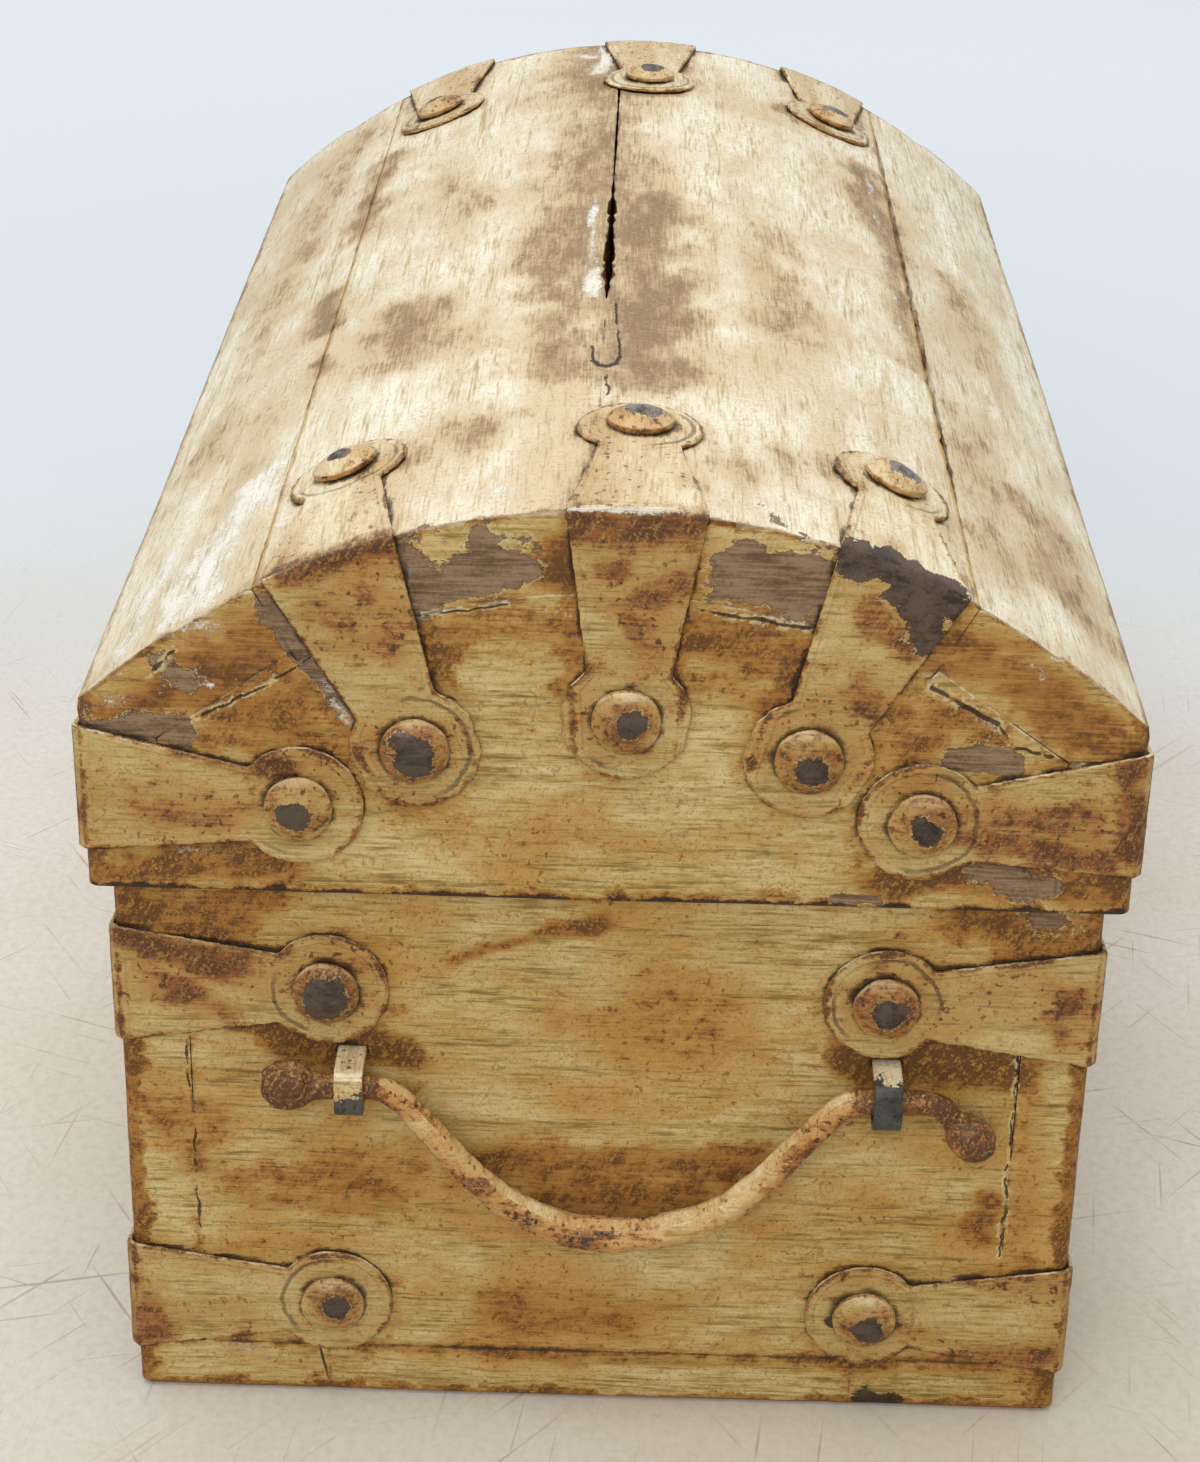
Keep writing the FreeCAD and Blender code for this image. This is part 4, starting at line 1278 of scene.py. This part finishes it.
@dataclass
class Ironwork:
    """Folded straps, hinges, clasps and eyes."""

    effects: Effects
    patches: tuple[Patch, ...]
    nails: BVHTree
    seats: tuple[tuple[Vector, Vector], ...]
    pad: float = 12.5 * MM
    pad_height: float = 3 * MM  # how far from a nail's seat along the nail its pad reaches
    pad_parts: int = 60  # parts that the turn round a pad is measured in
    pad_rows: int = 200  # fewest vertices that a strap has near its own nail

    def build(self) -> None:
        """Build every strap and fitting as a worn piece."""
        strap, clasp, bare = (finish.build(self.effects) for finish in (STRAP, CLASP, BARE))
        kinds = {
            "strap": (strap, "strap_iron", STRAP_FORGING),
            "leaf": (strap, "strap_iron", LEAF_FORGING),
            "clasps": (clasp, "strap_iron", CLASP_FORGING),
            "_pin": (bare, "bare_iron", SMALL_FORGING),
            "_eye": (bare, "bare_iron", SMALL_FORGING),
        }
        for node in sorted(frame["nodes"]):
            for key, kind in kinds.items():
                if key in node:
                    self.fitting(node, *kind)

    def fitting(self, node: str, material: bpy.types.Material, slot: str, forging: Forging) -> None:
        """Build one fitting from its CAD node.

        Args:
            node: CAD node of the fitting.
            material: Its finish.
            slot: Its material slot in the record.
            forging: How it is worked.
        """
        piece = copy_of_node(node, f"{node}_worn")
        edges = sharp_points(piece)
        forging.forge(piece)
        if "strap" in node or "leaf" in node:
            self.round_pads(piece)
        places = places_of(piece)
        iron_gap, _ = nearest_on(places, self.nails)
        wear_in(piece, self.patches, edge_gap=gaps_to_points(places, edges), iron_gap=iron_gap)
        store_values(piece, "ring", self.from_nails(places))
        fitted(piece, slot, material, node)

    def from_nails(self, places: np.ndarray) -> np.ndarray:
        """Distance of each place to the middle of the nearest nail, at most FAR."""
        gaps = [np.linalg.norm(places - np.array(seat), axis=1) for seat, _ in self.seats]
        return np.minimum(np.min(gaps, axis=0), FAR)

    def round_pads(self, piece: bpy.types.Object, passes: int = 2) -> None:
        """Bring the outline of each pad of a strap out to a true round, but for its neck."""
        places = places_of(piece)
        for _ in range(passes):
            for seat, way in self.seats:
                self.round_pad(places, seat, way)
        set_places(piece, places)

    def round_pad(self, places: np.ndarray, seat: Vector, way: Vector) -> None:
        """Round the pad under one nail, if it belongs to the strap.

        Args:
            places: Vertex places of the strap, changed in place.
            seat: Middle of the pad.
            way: Direction of its nail.
        """
        offset = places - np.array(seat)
        height = offset @ np.array(way)
        flat = offset - height[:, None] * np.array(way)
        away = np.linalg.norm(flat, axis=1)
        near = np.nonzero((np.abs(height) < self.pad_height) & (away < 1.2 * self.pad))[0]
        if len(near) < self.pad_rows:
            return
        parts = self.pad_parts
        first = way.orthogonal().normalized()
        second = way.cross(first)
        turn = np.arctan2(flat[near] @ np.array(second), flat[near] @ np.array(first))
        share = (turn / (2 * math.pi) + 0.5) * parts
        edge = np.zeros(parts)
        np.maximum.at(edge, share.astype(int) % parts, away[near])
        off_round = (edge > 1.04 * self.pad) | (edge < 0.8 * self.pad)  # the neck, or no pad at all
        shift = np.where(off_round, 0.0, self.pad - edge)
        shift = (np.roll(shift, 1) + shift + np.roll(shift, -1)) / 3
        moved = np.interp(share - 0.5, np.arange(parts), shift, period=parts)
        rim = np.interp(share - 0.5, np.arange(parts), edge, period=parts)
        moved *= np.clip((away[near] / rim - 0.6) / 0.3, 0, 1)
        places[near] += flat[near] * (moved / np.maximum(away[near], MM))[:, None]


@dataclass
class Nails:
    """Forged nails with domed heads, one joined piece for each group."""

    effects: Effects
    head: float = 6.9 * MM
    height: float = 3.6 * MM
    seat: float = 12.5 * MM  # tip of the shank to the head's underside
    rim: float = 1.4 * MM
    edge: float = 0.35 * MM
    dents: Dents = ((4 * MM, 0.5 * MM),)

    def build(self) -> None:
        """Build the nails of the carcass and of the lid."""
        material = NAIL.build(self.effects)
        for node in ("carcass_nails", "lid_nails"):
            heads = [self.head_at(seat, way, number) for number, (seat, way) in enumerate(self.places(node))]
            fitted(join(heads, f"{node}_forged"), "nail_iron", material, node)

    @classmethod
    def places(cls, node: str) -> list[tuple[Vector, Vector]]:
        """Seat and direction of each nail of a group, read from its CAD solids."""
        with edit_mode(copy_of_node(node, "nail_group")):
            bpy.ops.mesh.separate(type="LOOSE")
        found = []
        solids = list(bpy.context.selected_objects)
        for solid in solids:
            corners = [v.co.copy() for v in solid.data.vertices]
            middle = sum(corners, Vector()) / len(corners)
            tip = sum(sorted(corners, key=lambda c: (c - middle).length)[-4:], Vector()) / 4
            way = (middle - tip).normalized()
            found.append((tip + way * cls.seat, way))
            bpy.data.objects.remove(solid)
        log.info("%s: %d nails", node, len(found))
        return sorted(found, key=lambda place: tuple(place[0]))

    def head_at(self, seat: Vector, way: Vector, number: int) -> bpy.types.Object:
        """Model one domed head, hammered a little out of true.

        Args:
            seat: Middle of the head's underside.
            way: Direction that the head points.
            number: Number of the nail, which seeds what differs.

        Returns:
            The head in its place.
        """
        chance = random.Random(number)
        piece = self.blank()
        turn = Matrix.Rotation(chance.uniform(0, 2 * math.pi), 4, "Z")
        upright = Vector((0, 0, 1)).rotation_difference(way).to_matrix().to_4x4()
        piece.data.transform(Matrix.Translation(seat) @ upright @ turn)
        dent(piece, self.dents)
        height = ((places_of(piece) - np.array(seat)) @ np.array(way)).astype(np.float32)
        wear_in(piece, (), edge_gap=np.abs(height))
        self.bare_top(piece, seat, way, chance)
        return piece

    def blank(self) -> bpy.types.Object:
        """Model a true domed head that stands on the origin, with a low upright rim."""
        dome = self.height - self.rim
        ball = (self.head**2 + dome**2) / (2 * dome)
        deselect_all()
        bpy.ops.mesh.primitive_uv_sphere_add(
            segments=40, ring_count=56, radius=ball, location=(0, 0, self.height - ball)
        )
        piece = bpy.context.object
        bpy.ops.object.transform_apply(location=True, rotation=False, scale=False)
        with edit_mode(piece):
            bpy.ops.mesh.bisect(
                plane_co=(0, 0, self.rim), plane_no=(0, 0, 1), clear_inner=True, use_fill=True
            )
            bpy.ops.mesh.extrude_region_move(TRANSFORM_OT_translate={"value": (0, 0, -self.rim)})
        apply_modifier(piece, "BEVEL", width=self.edge, segments=3, limit_method="ANGLE")
        return piece

    def bare_top(self, piece: bpy.types.Object, seat: Vector, way: Vector, chance: random.Random) -> None:
        """Bare the iron on the lower part of a head's top, with a worn ring round it.

        Args:
            piece: Head in its place.
            seat: Middle of the head's underside.
            way: Direction that the head points.
            chance: Source of what differs from head to head.
        """
        upright = way.z > 0.5
        down = Vector((0, 0, -1)) + way * way.z
        low = down.normalized() if down.length > 0.3 else Vector((-1, 0, 0))
        side = way.cross(low) * chance.uniform(-1.2, 1.2) * MM
        spot = seat + way * self.height + low * chance.uniform(-0.6, 1.6) * MM + side
        away = np.linalg.norm(places_of(piece) - np.array(spot), axis=1)
        reach = chance.uniform(2.6, 3.6 if upright else 5.2) * MM
        store_values(piece, "raw", 1.1 * faded(away, reach))
        ring = 0.25 if upright else chance.uniform(0.3, 0.9)
        store_values(piece, "worn", ring * faded(away, 1.5 * reach))


@dataclass
class Handles:
    """The two bail handles."""

    effects: Effects
    patches: tuple[Patch, ...]
    clasps: BVHTree
    knobs: tuple[tuple[float, float], ...] = ((64.5 * MM, 81.5 * MM), (-76.5 * MM, 78.5 * MM))
    knob: float = 6.0 * MM
    knob_swell: float = 1.22
    lump_size: float = 4.5 * MM
    lump_depth: float = 1.3 * MM

    def build(self) -> None:
        """Build both handles as worn forged bars."""
        material = HANDLE.build(self.effects)
        for node in ("left_handle", "right_handle"):
            piece = copy_of_node(node, f"{node}_forged")
            BAR_FORGING.forge(piece)
            self.swell_knobs(piece)
            iron_gap, _ = nearest_on(places_of(piece), self.clasps)
            wear_in(piece, self.patches, iron_gap=iron_gap)
            fitted(piece, "handle_iron", material, node)

    def swell_knobs(self, piece: bpy.types.Object) -> None:
        """Beat the knobs wider than the bar, with dents that leave them lumpy."""
        places = places_of(piece)
        for middle in self.knobs:
            offset = places[:, 1:] - np.array(middle)
            away = np.linalg.norm(offset, axis=1)
            swell = np.clip(1.5 - away / self.knob, 0, 1)[:, None] * (self.knob_swell - 1)
            places[:, 1:] += offset * swell
            for row in np.nonzero(away < 1.4 * self.knob)[0]:
                lump = noise.noise(Vector(places[row]) / self.lump_size) * self.lump_depth
                places[row, 1:] -= offset[row] / max(away[row], MM) * max(lump, 0.0)
        set_places(piece, places)


@dataclass
class Studio:
    """Pale floor, soft light and the camera at the photograph's place and angle."""

    eye: Vector = field(default_factory=lambda: Vector((-0.6959, -0.0035, 0.4176)))
    turn: float = math.radians(-0.646)
    tilt: float = math.radians(26.278)
    roll: float = math.radians(1.303)
    focus: float = 3038.97  # pixels of the photograph
    picture_height: float = 1462.0
    floor_size: float = 40.0
    lamp_aim: Vector = field(default_factory=lambda: Vector((0, 0, 0.1)))

    def build(self) -> None:
        """Build the camera, the floor and the lamps."""
        self.camera()
        self.floor()
        self.lamps()

    def camera(self) -> None:
        """Set the camera as the photograph's was."""
        turn, tilt, roll = self.turn, self.tilt, self.roll
        ahead = Vector((math.cos(turn) * math.cos(tilt), -math.sin(turn) * math.cos(tilt), -math.sin(tilt)))
        right = Vector((-math.sin(turn), -math.cos(turn), 0))
        up = right.cross(ahead)
        right, up = (
            right * math.cos(roll) + up * math.sin(roll),
            up * math.cos(roll) - right * math.sin(roll),
        )
        data = bpy.data.cameras.new("camera")
        data.sensor_fit = "VERTICAL"
        data.sensor_height = 36.0
        data.lens = self.focus / self.picture_height * data.sensor_height
        data.clip_start = 0.01
        camera = bpy.data.objects.new("camera", data)
        bpy.context.scene.collection.objects.link(camera)
        rows = Matrix((right, up, -ahead)).transposed().to_4x4()
        camera.matrix_world = Matrix.Translation(self.eye) @ rows
        bpy.context.scene.camera = camera

    def floor(self) -> None:
        """Lay one wide floor, which fades into a pale background far from the chest."""
        deselect_all()
        bpy.ops.mesh.primitive_plane_add(size=self.floor_size, location=(0, 0, 0))
        floor = bpy.context.object
        floor.name = "floor"
        floor.data.materials.append(self.floor_paint())

    def floor_paint(self) -> bpy.types.Material:
        """Pale floor with fine brown scratches, which turns plain and pale blue-grey in the distance."""
        material = bpy.data.materials.new("floor paint")
        material.use_nodes = True
        sheet = NodeSheet(material.node_tree)
        place = sheet.add("ShaderNodeTexCoord").outputs["Object"]
        depth = sheet.add("ShaderNodeSeparateXYZ", {0: place}).outputs[0]
        away = sheet.vector("LENGTH", place, out="Value")
        broad = sheet.noise(place, 6.0, 3.0, 0.5)
        fine = sheet.noise(place, 420.0, 5.0, 0.7)
        colour = sheet.mix(sheet.steps(broad, 0.35, 0.65), linear("#d9d3c6"), linear("#e2dfd7"))
        colour = sheet.mix(sheet.steps(fine, 0.35, 0.7, 0.0, 0.3), colour, linear("#b9a888"))
        shown = sheet.steps(sheet.noise(place, 30.0, 3.0, 0.6), 0.4, 0.62, 0.1, 0.5)
        lines = sheet.maths("MULTIPLY", self.scratches(sheet, place), shown)
        colour = sheet.mix(lines, colour, linear("#8a6a45"))
        near = sheet.maths(
            "MULTIPLY", sheet.steps(depth, -0.3, 0.0, 1.0, 0.0), sheet.steps(away, 0.3, 0.7, 1.0, 0.0)
        )
        stained = sheet.maths("MULTIPLY", near, sheet.steps(broad, 0.3, 0.6, 0.45, 0.3))
        colour = sheet.mix(stained, colour, linear("#b39c76"))
        distant = sheet.maths("MAXIMUM", sheet.steps(depth, 0.05, 0.42), sheet.steps(away, 0.45, 1.0))
        colour = sheet.mix(distant, colour, linear("#d8dfe4"))
        seen = sheet.add("ShaderNodeLightPath").outputs["Is Camera Ray"]
        glow = sheet.maths("MULTIPLY", sheet.steps(away, 0.2, 1.2), seen)
        sheet.fill(material.node_tree.nodes["Principled BSDF"], {
            "Base Color": colour,
            "Roughness": 0.7,
            "Emission Color": sheet.mix(glow, linear("#000000"), linear("#85898d")),
            "Emission Strength": 1.0,
        })
        return material

    @staticmethod
    def scratches(sheet: NodeSheet, place: Socket) -> Socket:
        """Thin straight scratches in five directions."""
        lines = None
        for turn in (0.25, 0.9, 1.45, 2.1, 2.75):
            along = sheet.drawn_out(place, (0.0, 0.0, turn), (1.0, 42.0, 1.0))
            line = sheet.steps(sheet.noise(along, 620.0 + 90 * turn, 1.0, 0.5, 0.15), 0.69, 0.76)
            lines = sheet.maths("MAXIMUM", lines, line) if lines else line
        return lines

    def lamps(self) -> None:
        """Light the chest softly from above and from the front."""
        world = bpy.data.worlds.new("studio")
        bpy.context.scene.world = world
        world.use_nodes = True
        background = {"Color": linear("#f1f3f5"), "Strength": 0.64}
        NodeSheet(world.node_tree).fill(world.node_tree.nodes["Background"], background)
        for name, place, size, power in (
            ("top lamp", (-0.1, 0.08, 1.3), 1.0, 9.5),
            ("front lamp", (-1.4, 0.25, 1.0), 0.8, 7.5),
        ):
            data = bpy.data.lights.new(name, "AREA")
            data.size = size
            data.energy = power
            lamp = bpy.data.objects.new(name, data)
            lamp.location = place
            lamp.rotation_euler = (self.lamp_aim - Vector(place)).to_track_quat("-Z", "Y").to_euler()
            bpy.context.scene.collection.objects.link(lamp)


# Patches of wear, dirt, painted shade and painted highlight, each from one point to another with its reach
# and strength, by the part of the chest that they lie on. The seen end is at x -178 on the lid and -174 on
# the carcass, and the straps, bands and handle stand up to 12 mm before it.
CROWN_PATCHES = (
    Patch((165, 8, 206), (-60, 8, 207), 15, 0.78),
    Patch((20, -4, 207), (-100, -4, 207), 10, 1.0),
    Patch((-10, 16, 206), (-100, 14, 206), 9, 0.78),
    Patch((112, 66, 190), (45, 69, 188), 6, 0.95),
    Patch((0, 70, 188), (-28, 70, 188), 4.5, 1.0),
    Patch((-50, 69, 188), (-62, 66, 189), 2.5, 0.9),
    Patch((-40, 48, 199), (-75, 44, 200), 11, 0.72),
    Patch((30, 40, 201), (60, 44, 200), 9, 0.45),
    Patch((10, -33, 203), (-60, -36, 202), 10, 0.55),
    Patch((105, -61, 193), (40, -64, 191), 6, 0.95),
    Patch((30, -64, 191), (-50, -66, 190), 3.5, 0.75),
    Patch((-126, 30, 204), (-136, 26, 204), 8, 0.66),
    Patch((-140, -30, 204), (-152, -26, 204), 8, 0.62),
    Patch((-168, -24, 204), (-178, -36, 201), 4, 0.6, Shows.RAW),
    Patch((-60, -74, 186), (-150, -76, 185), 8, 0.5),
    Patch((-100, -88, 177), (-150, -92, 174), 8, 0.66),
    Patch((40, -82, 181), (-60, -90, 175), 8, 0.5),
    Patch((160, 78, 184), (60, 84, 180), 10, 0.55),
    Patch((40, 88, 176), (-80, 92, 174), 9, 0.5),
    Patch((-100, 78, 183), (-170, 88, 177), 7, 0.4),
    # Left eave near the end, this patch and the next: bleached paint with a painted highlight
    Patch((-112, 74, 185), (-168, 82, 181), 9, 1.1, Shows.CHALK),
    Patch((-128, 90, 175), (-172, 93, 172), 6, 0.95, Shows.CHALK),
    Patch((176, 9, 206), (148, 9, 206), 3.5, 1.1, Shows.CHALK),
    Patch((165, 14, 206), (168, 18, 205), 3, 1.0, Shows.CHALK),
    Patch((28, 8.5, 207), (-34, 8.0, 207), 1.5, 0.95, Shows.CHALK),
    Patch((-34, 7.5, 207), (-52, 8.5, 207), 2.0, 1.05, Shows.CHALK),
    Patch((130, -62, 192), (-120, -64, 191), 1.1, 0.85, Shows.CHALK),
    Patch((-163, 23, 205), (-166, 21, 205), 2.2, 0.9, Shows.CHALK),
    Patch((150, -50, 198), (120, -40, 200), 8, 0.4),
)
LID_END_PATCHES = (
    Patch((-178, 39, 193), (-178, 20, 195), 6.2, 1.05, Shows.RAW),
    Patch((-178, 12, 196), (-178, 6, 196), 6, 1.0),
    Patch((-178, -24, 195), (-178, -40, 190), 6.2, 1.05, Shows.RAW),
    Patch((-178, 34, 180), (-178, 10, 184), 7, 0.8),
    Patch((-178, -18, 182), (-178, -36, 176), 8, 0.92),
    Patch((-178, -30, 170), (-178, -34, 166), 4, 0.5),
    Patch((-178, 92, 164), (-178, 64, 179), 8, 0.85),
    Patch((-178, 74, 163), (-178, 56, 168), 6, 0.8),
    Patch((-178, 97, 161), (-178, 82, 160), 3.5, 0.95, Shows.RAW),
    Patch((-178, 86, 174), (-178, 80, 169), 1.6, 1.0, Shows.RAW),
    Patch((-178, 78, 170), (-178, 76, 169), 1.2, 1.0, Shows.CHALK),
    Patch((-178, 66, 186), (-178, 51, 167), 2.4, 1.2, Shows.RAW),
    Patch((-178, 55, 170), (-178, 50, 162), 1.4, 0.85, Shows.CHALK),
    Patch((-178, -68, 180), (-178, -94, 165), 7, 0.85),
    Patch((-178, -60, 166), (-178, -74, 162), 5, 0.85),
    Patch((-178, -64, 157.8), (-178, -77, 158.4), 2.4, 1.15, Shows.RAW),
    Patch((-178, -70, 164.4), (-178, -73, 164.4), 1.8, 0.7, Shows.CHALK),
    Patch((-178, -79, 178), (-178, -82, 174), 1.6, 0.8, Shows.CHALK),
    Patch((-178, 86, 129.5), (-178, 66, 131.5), 4.2, 1.15),
    Patch((-178, 99, 128), (-178, 90, 129), 3.5, 0.95),
    Patch((-178, 84, 133), (-178, 76, 134), 1.2, 0.8, Shows.CHALK),
    Patch((-178, -52, 130), (-178, -82, 134), 5.2, 1.2),
    Patch((-178, -72, 133), (-178, -84, 132), 4, 0.8, Shows.RAW),
    Patch((-178, -88, 130), (-178, -100, 130), 4, 1.0),
    Patch((-178, -45, 126.4), (-178, -52, 126.4), 1.5, 1.1, Shows.RAW),
    # Dark line along the lid's lower edge: painted shade of the joint, with dirt
    Patch((-178, 101, 125.3), (-178, -101, 125.3), 0.8, 0.95, Shows.GRIME),
    Patch((-178, 18, 140), (-178, -6, 136), 6, 0.25),
)
CARCASS_END_PATCHES = (
    Patch((-174, 97, 120), (-174, 70, 118), 5, 0.95),
    Patch((-174, 84, 114), (-174, 76, 112), 3, 0.9),
    Patch((-174, -72, 120), (-174, -97, 117), 5, 1.0),
    Patch((-174, -84, 122), (-174, -90, 119), 3.5, 0.8, Shows.RAW),
    Patch((-174, 24, 111), (-174, 11, 115.5), 1.2, 1.15),
    Patch((-174, 11, 115.5), (-174, 0, 117), 1.9, 1.3),
    Patch((-174, 31, 108), (-174, 24, 111), 1.2, 0.9),
    Patch((-174, 12, 103), (-174, -26, 99), 10, 0.36),
    Patch((-174, 95, 72), (-174, 84, 62), 6, 0.75),
    Patch((-174, 82, 70), (-174, 78, 58), 4, 0.6),
    Patch((-174, 80, 54), (-174, 48, 52), 6.5, 0.72),
    Patch((-174, 60, 60), (-174, 40, 58), 5, 0.5),
    Patch((-174, 24, 60), (-174, -32, 60), 6.5, 0.9),
    Patch((-174, 12, 53), (-174, -18, 52), 6, 1.05),
    Patch((-174, -79.5, 54), (-174, -80.5, 46), 3.6, 0.9),
    Patch((-174, 20, 23), (-174, -6, 19), 4.5, 0.55),
    Patch((-174, -34, 29), (-174, -38, 25), 1.6, 0.45, Shows.GRIME),
    Patch((-174, -57, 2.5), (-174, -63, 2.5), 2.6, 1.0, Shows.GRIME),
    Patch((-174, 77, 11.5), (-174, 71, 11.0), 1.5, 1.0, Shows.CHALK),
    Patch((-174, 56, 11), (-174, 50, 9), 1.2, 0.7, Shows.CHALK),
    Patch((-174, 44, 78), (-174, 39, 80), 4, 0.6),
    # Painted shade and dirt under the left handle pad
    Patch((-174, 70, 91), (-174, 52, 89), 3, 0.8),
    Patch((-174, -86, 84), (-174, -88, 40), 3, 0.4),
    # This patch, under the right handle pad, and the next, under the left one: painted shade and dirt
    Patch((-174, -50, 87.5), (-174, -82, 86), 4.6, 1.5),
    Patch((-174, 66, 88), (-174, 40, 87), 3.8, 1.4),
    Patch((-174, 50, 12), (-174, -84, 11), 1.7, 0.8),
    Patch((-174, 40, 74), (-174, 20, 66), 5, 0.35),
)
STRAP_PATCHES = (
    Patch((-179.5, 11, 204.5), (-179.5, -14, 204.5), 3.4, 1.0),
    # Painted highlight along the middle strap's fold
    Patch((-179.2, 12, 208), (-179.2, -14, 208), 0.9, 1.1, Shows.CHALK),
    Patch((-179.5, 2, 197), (-179.5, -2, 196), 2.4, 0.6),
    Patch((-179.5, -8, 191), (-179.5, -14, 192), 3.0, 0.6),
    Patch((-179.5, -4, 184), (-179.5, -6, 172), 2.6, 0.4),
    Patch((-179.5, 62, 192.5), (-179.5, 42, 200.5), 3.2, 0.85),
    Patch((-179.5, 56, 186), (-179.5, 44, 182), 4, 0.45),
    Patch((-179, -36, 202), (-179, -64, 191), 4.6, 0.85, Shows.RAW),
    Patch((-179.5, -54, 192), (-179.5, -60, 184), 4.6, 0.75, Shows.RAW),
    Patch((-179.5, -48, 186), (-179.5, -56, 182), 3.6, 0.9),
    Patch((-179.5, -45, 175), (-179.5, -49, 170), 3, 0.6),
    Patch((-179.5, 84, 158), (-179.5, 62, 152), 2.2, 1.0),
    Patch((-179.5, 90, 146), (-179.5, 78, 143), 3.5, 0.45),
    Patch((-179.5, -99, 156), (-179.5, -101, 140), 3.4, 0.85),
    Patch((-179.5, -74, 148), (-179.5, -90, 146), 4, 0.5),
    Patch((-179.5, -66, 142), (-179.5, -96, 137), 2.4, 0.8),
    Patch((-175.5, 96, 112), (-175.5, 74, 107), 3.4, 0.95),
    Patch((-175.5, 86, 100), (-175.5, 76, 96), 3.6, 0.7),
    Patch((-175.5, -94, 104), (-175.5, -90, 96), 3.0, 0.5),
    Patch((-175.5, 97, 20), (-175.5, 92, 14), 4, 0.7),
    Patch((-175.5, -96, 16), (-175.5, -80, 13), 3, 0.6),
    Patch((-175.5, -49.5, 23.5), (-175.5, -49.5, 23.4), 1.5, 1.5, Shows.GRIME),
    # Lower halves of the clasps, dark blue-grey: painted shade and painted dark reflection, shown as bare
    # iron
    Patch((-185.5, 57, 76), (-185.5, 47, 75), 7.2, 1.1, Shows.RAW),
    Patch((-185.5, -53, 76), (-185.5, -63, 77), 7.4, 1.1, Shows.RAW),
)
HANDLE_PATCHES = (
    Patch((-182, 60, 80), (-182, 70, 84), 8, 1.3),
    Patch((-186, 66, 84), (-186, 64, 76), 1.5, 1.0, Shows.RAW),
    Patch((-183, 70, 77), (-183, 66, 75), 2.2, 0.8, Shows.RAW),
    Patch((-182, -70, 84), (-182, -80, 76), 8, 1.3),
    Patch((-186, -77, 79), (-185, -79, 72), 1.8, 1.0, Shows.RAW),
    Patch((-178, 46, 78), (-178, 26, 59), 3.6, 1.0),
    Patch((-179, 41, 76), (-179, 22, 57), 2.2, 0.95, Shows.RAW),
    Patch((-183, 38, 70), (-183, 22, 50), 2.6, 0.45, Shows.RAW),
    Patch((-177, 22, 43), (-177, -34, 44), 4.0, 1.1),
    Patch((-181, 24, 45), (-181, -24, 42), 1.8, 0.8, Shows.RAW),
    Patch((-182, -40, 62), (-182, -56, 80), 3.5, 0.9),
    Patch((-179, -34, 60), (-179, -50, 76), 2.0, 0.8, Shows.RAW),
)
OPENINGS = (
    Opening((38, 0, 207), (-54, 0, 207), 1.5),
    Opening((26, 0, 207), (2, 0, 207), 2.0),
    Opening((4, 0, 207), (-54, 0, 207), 2.9),
    Opening((172, 0, 207), (40, 0, 207), 0.5),
    Opening((150, -64, 191), (20, -64, 191), 1.0),
    Opening((40, -64, 191), (-125, -64, 191), 1.6),
)


LID_FROM = 125  # height at which the lid begins, in millimetres


def hidden_patches() -> tuple[Patch, ...]:
    """Scattered patches on the sides that the photograph doesn't show."""
    chance = random.Random(7)
    found = []
    for side in (-1, 1):
        for _ in range(16):
            x, z = chance.uniform(-165, 165), chance.uniform(8, 150)
            y = side * (98 if z < LID_FROM else 102)
            run = chance.uniform(4, 26)
            end = (x + run, y, z + chance.uniform(-4, 4))
            found.append(Patch((x, y, z), end, chance.uniform(3, 9), chance.uniform(0.4, 1.0)))
            if chance.random() < 0.35:
                start, end = (x + 30, y, z), (x + 33, y, z + 1)
                found.append(Patch(start, end, chance.uniform(1.2, 3.5), chance.uniform(0.7, 1.1), Shows.RAW))
    for _ in range(22):
        y, z = chance.uniform(-92, 92), chance.uniform(6, 180)
        x = 174 if z < LID_FROM else 178
        run = chance.uniform(4, 22)
        kind = Shows.RAW if z > 178 or chance.random() < 0.2 else Shows.WORN
        found.append(Patch((x, y, z), (x, y + run, z), chance.uniform(3, 7), chance.uniform(0.5, 1.0), kind))
    return tuple(found)


def main() -> None:
    """Build the chest's looks in order."""
    logging.basicConfig(level=logging.INFO, format="%(message)s")
    noise.seed_set(NOISE_SEED)
    bpy.context.scene.view_settings.view_transform = "Standard"
    effects = Effects()
    nodes = frame["nodes"]
    iron = tree_of(*(nodes[n] for n in nodes if any(key in n for key in ("strap", "leaf", "clasps"))))
    nails = tree_of(nodes["carcass_nails"], nodes["lid_nails"])
    clasps = tree_of(nodes["left_handle_clasps"], nodes["right_handle_clasps"])
    wood_patches = CROWN_PATCHES + LID_END_PATCHES + CARCASS_END_PATCHES + hidden_patches()
    Boards(effects, wood_patches, OPENINGS, iron).build()
    seats = tuple(Nails.places("carcass_nails") + Nails.places("lid_nails"))
    Ironwork(effects, STRAP_PATCHES, nails, seats).build()
    Nails(effects).build()
    Handles(effects, HANDLE_PATCHES, clasps).build()
    Studio().build()


if __name__ == "__main__":
    main()
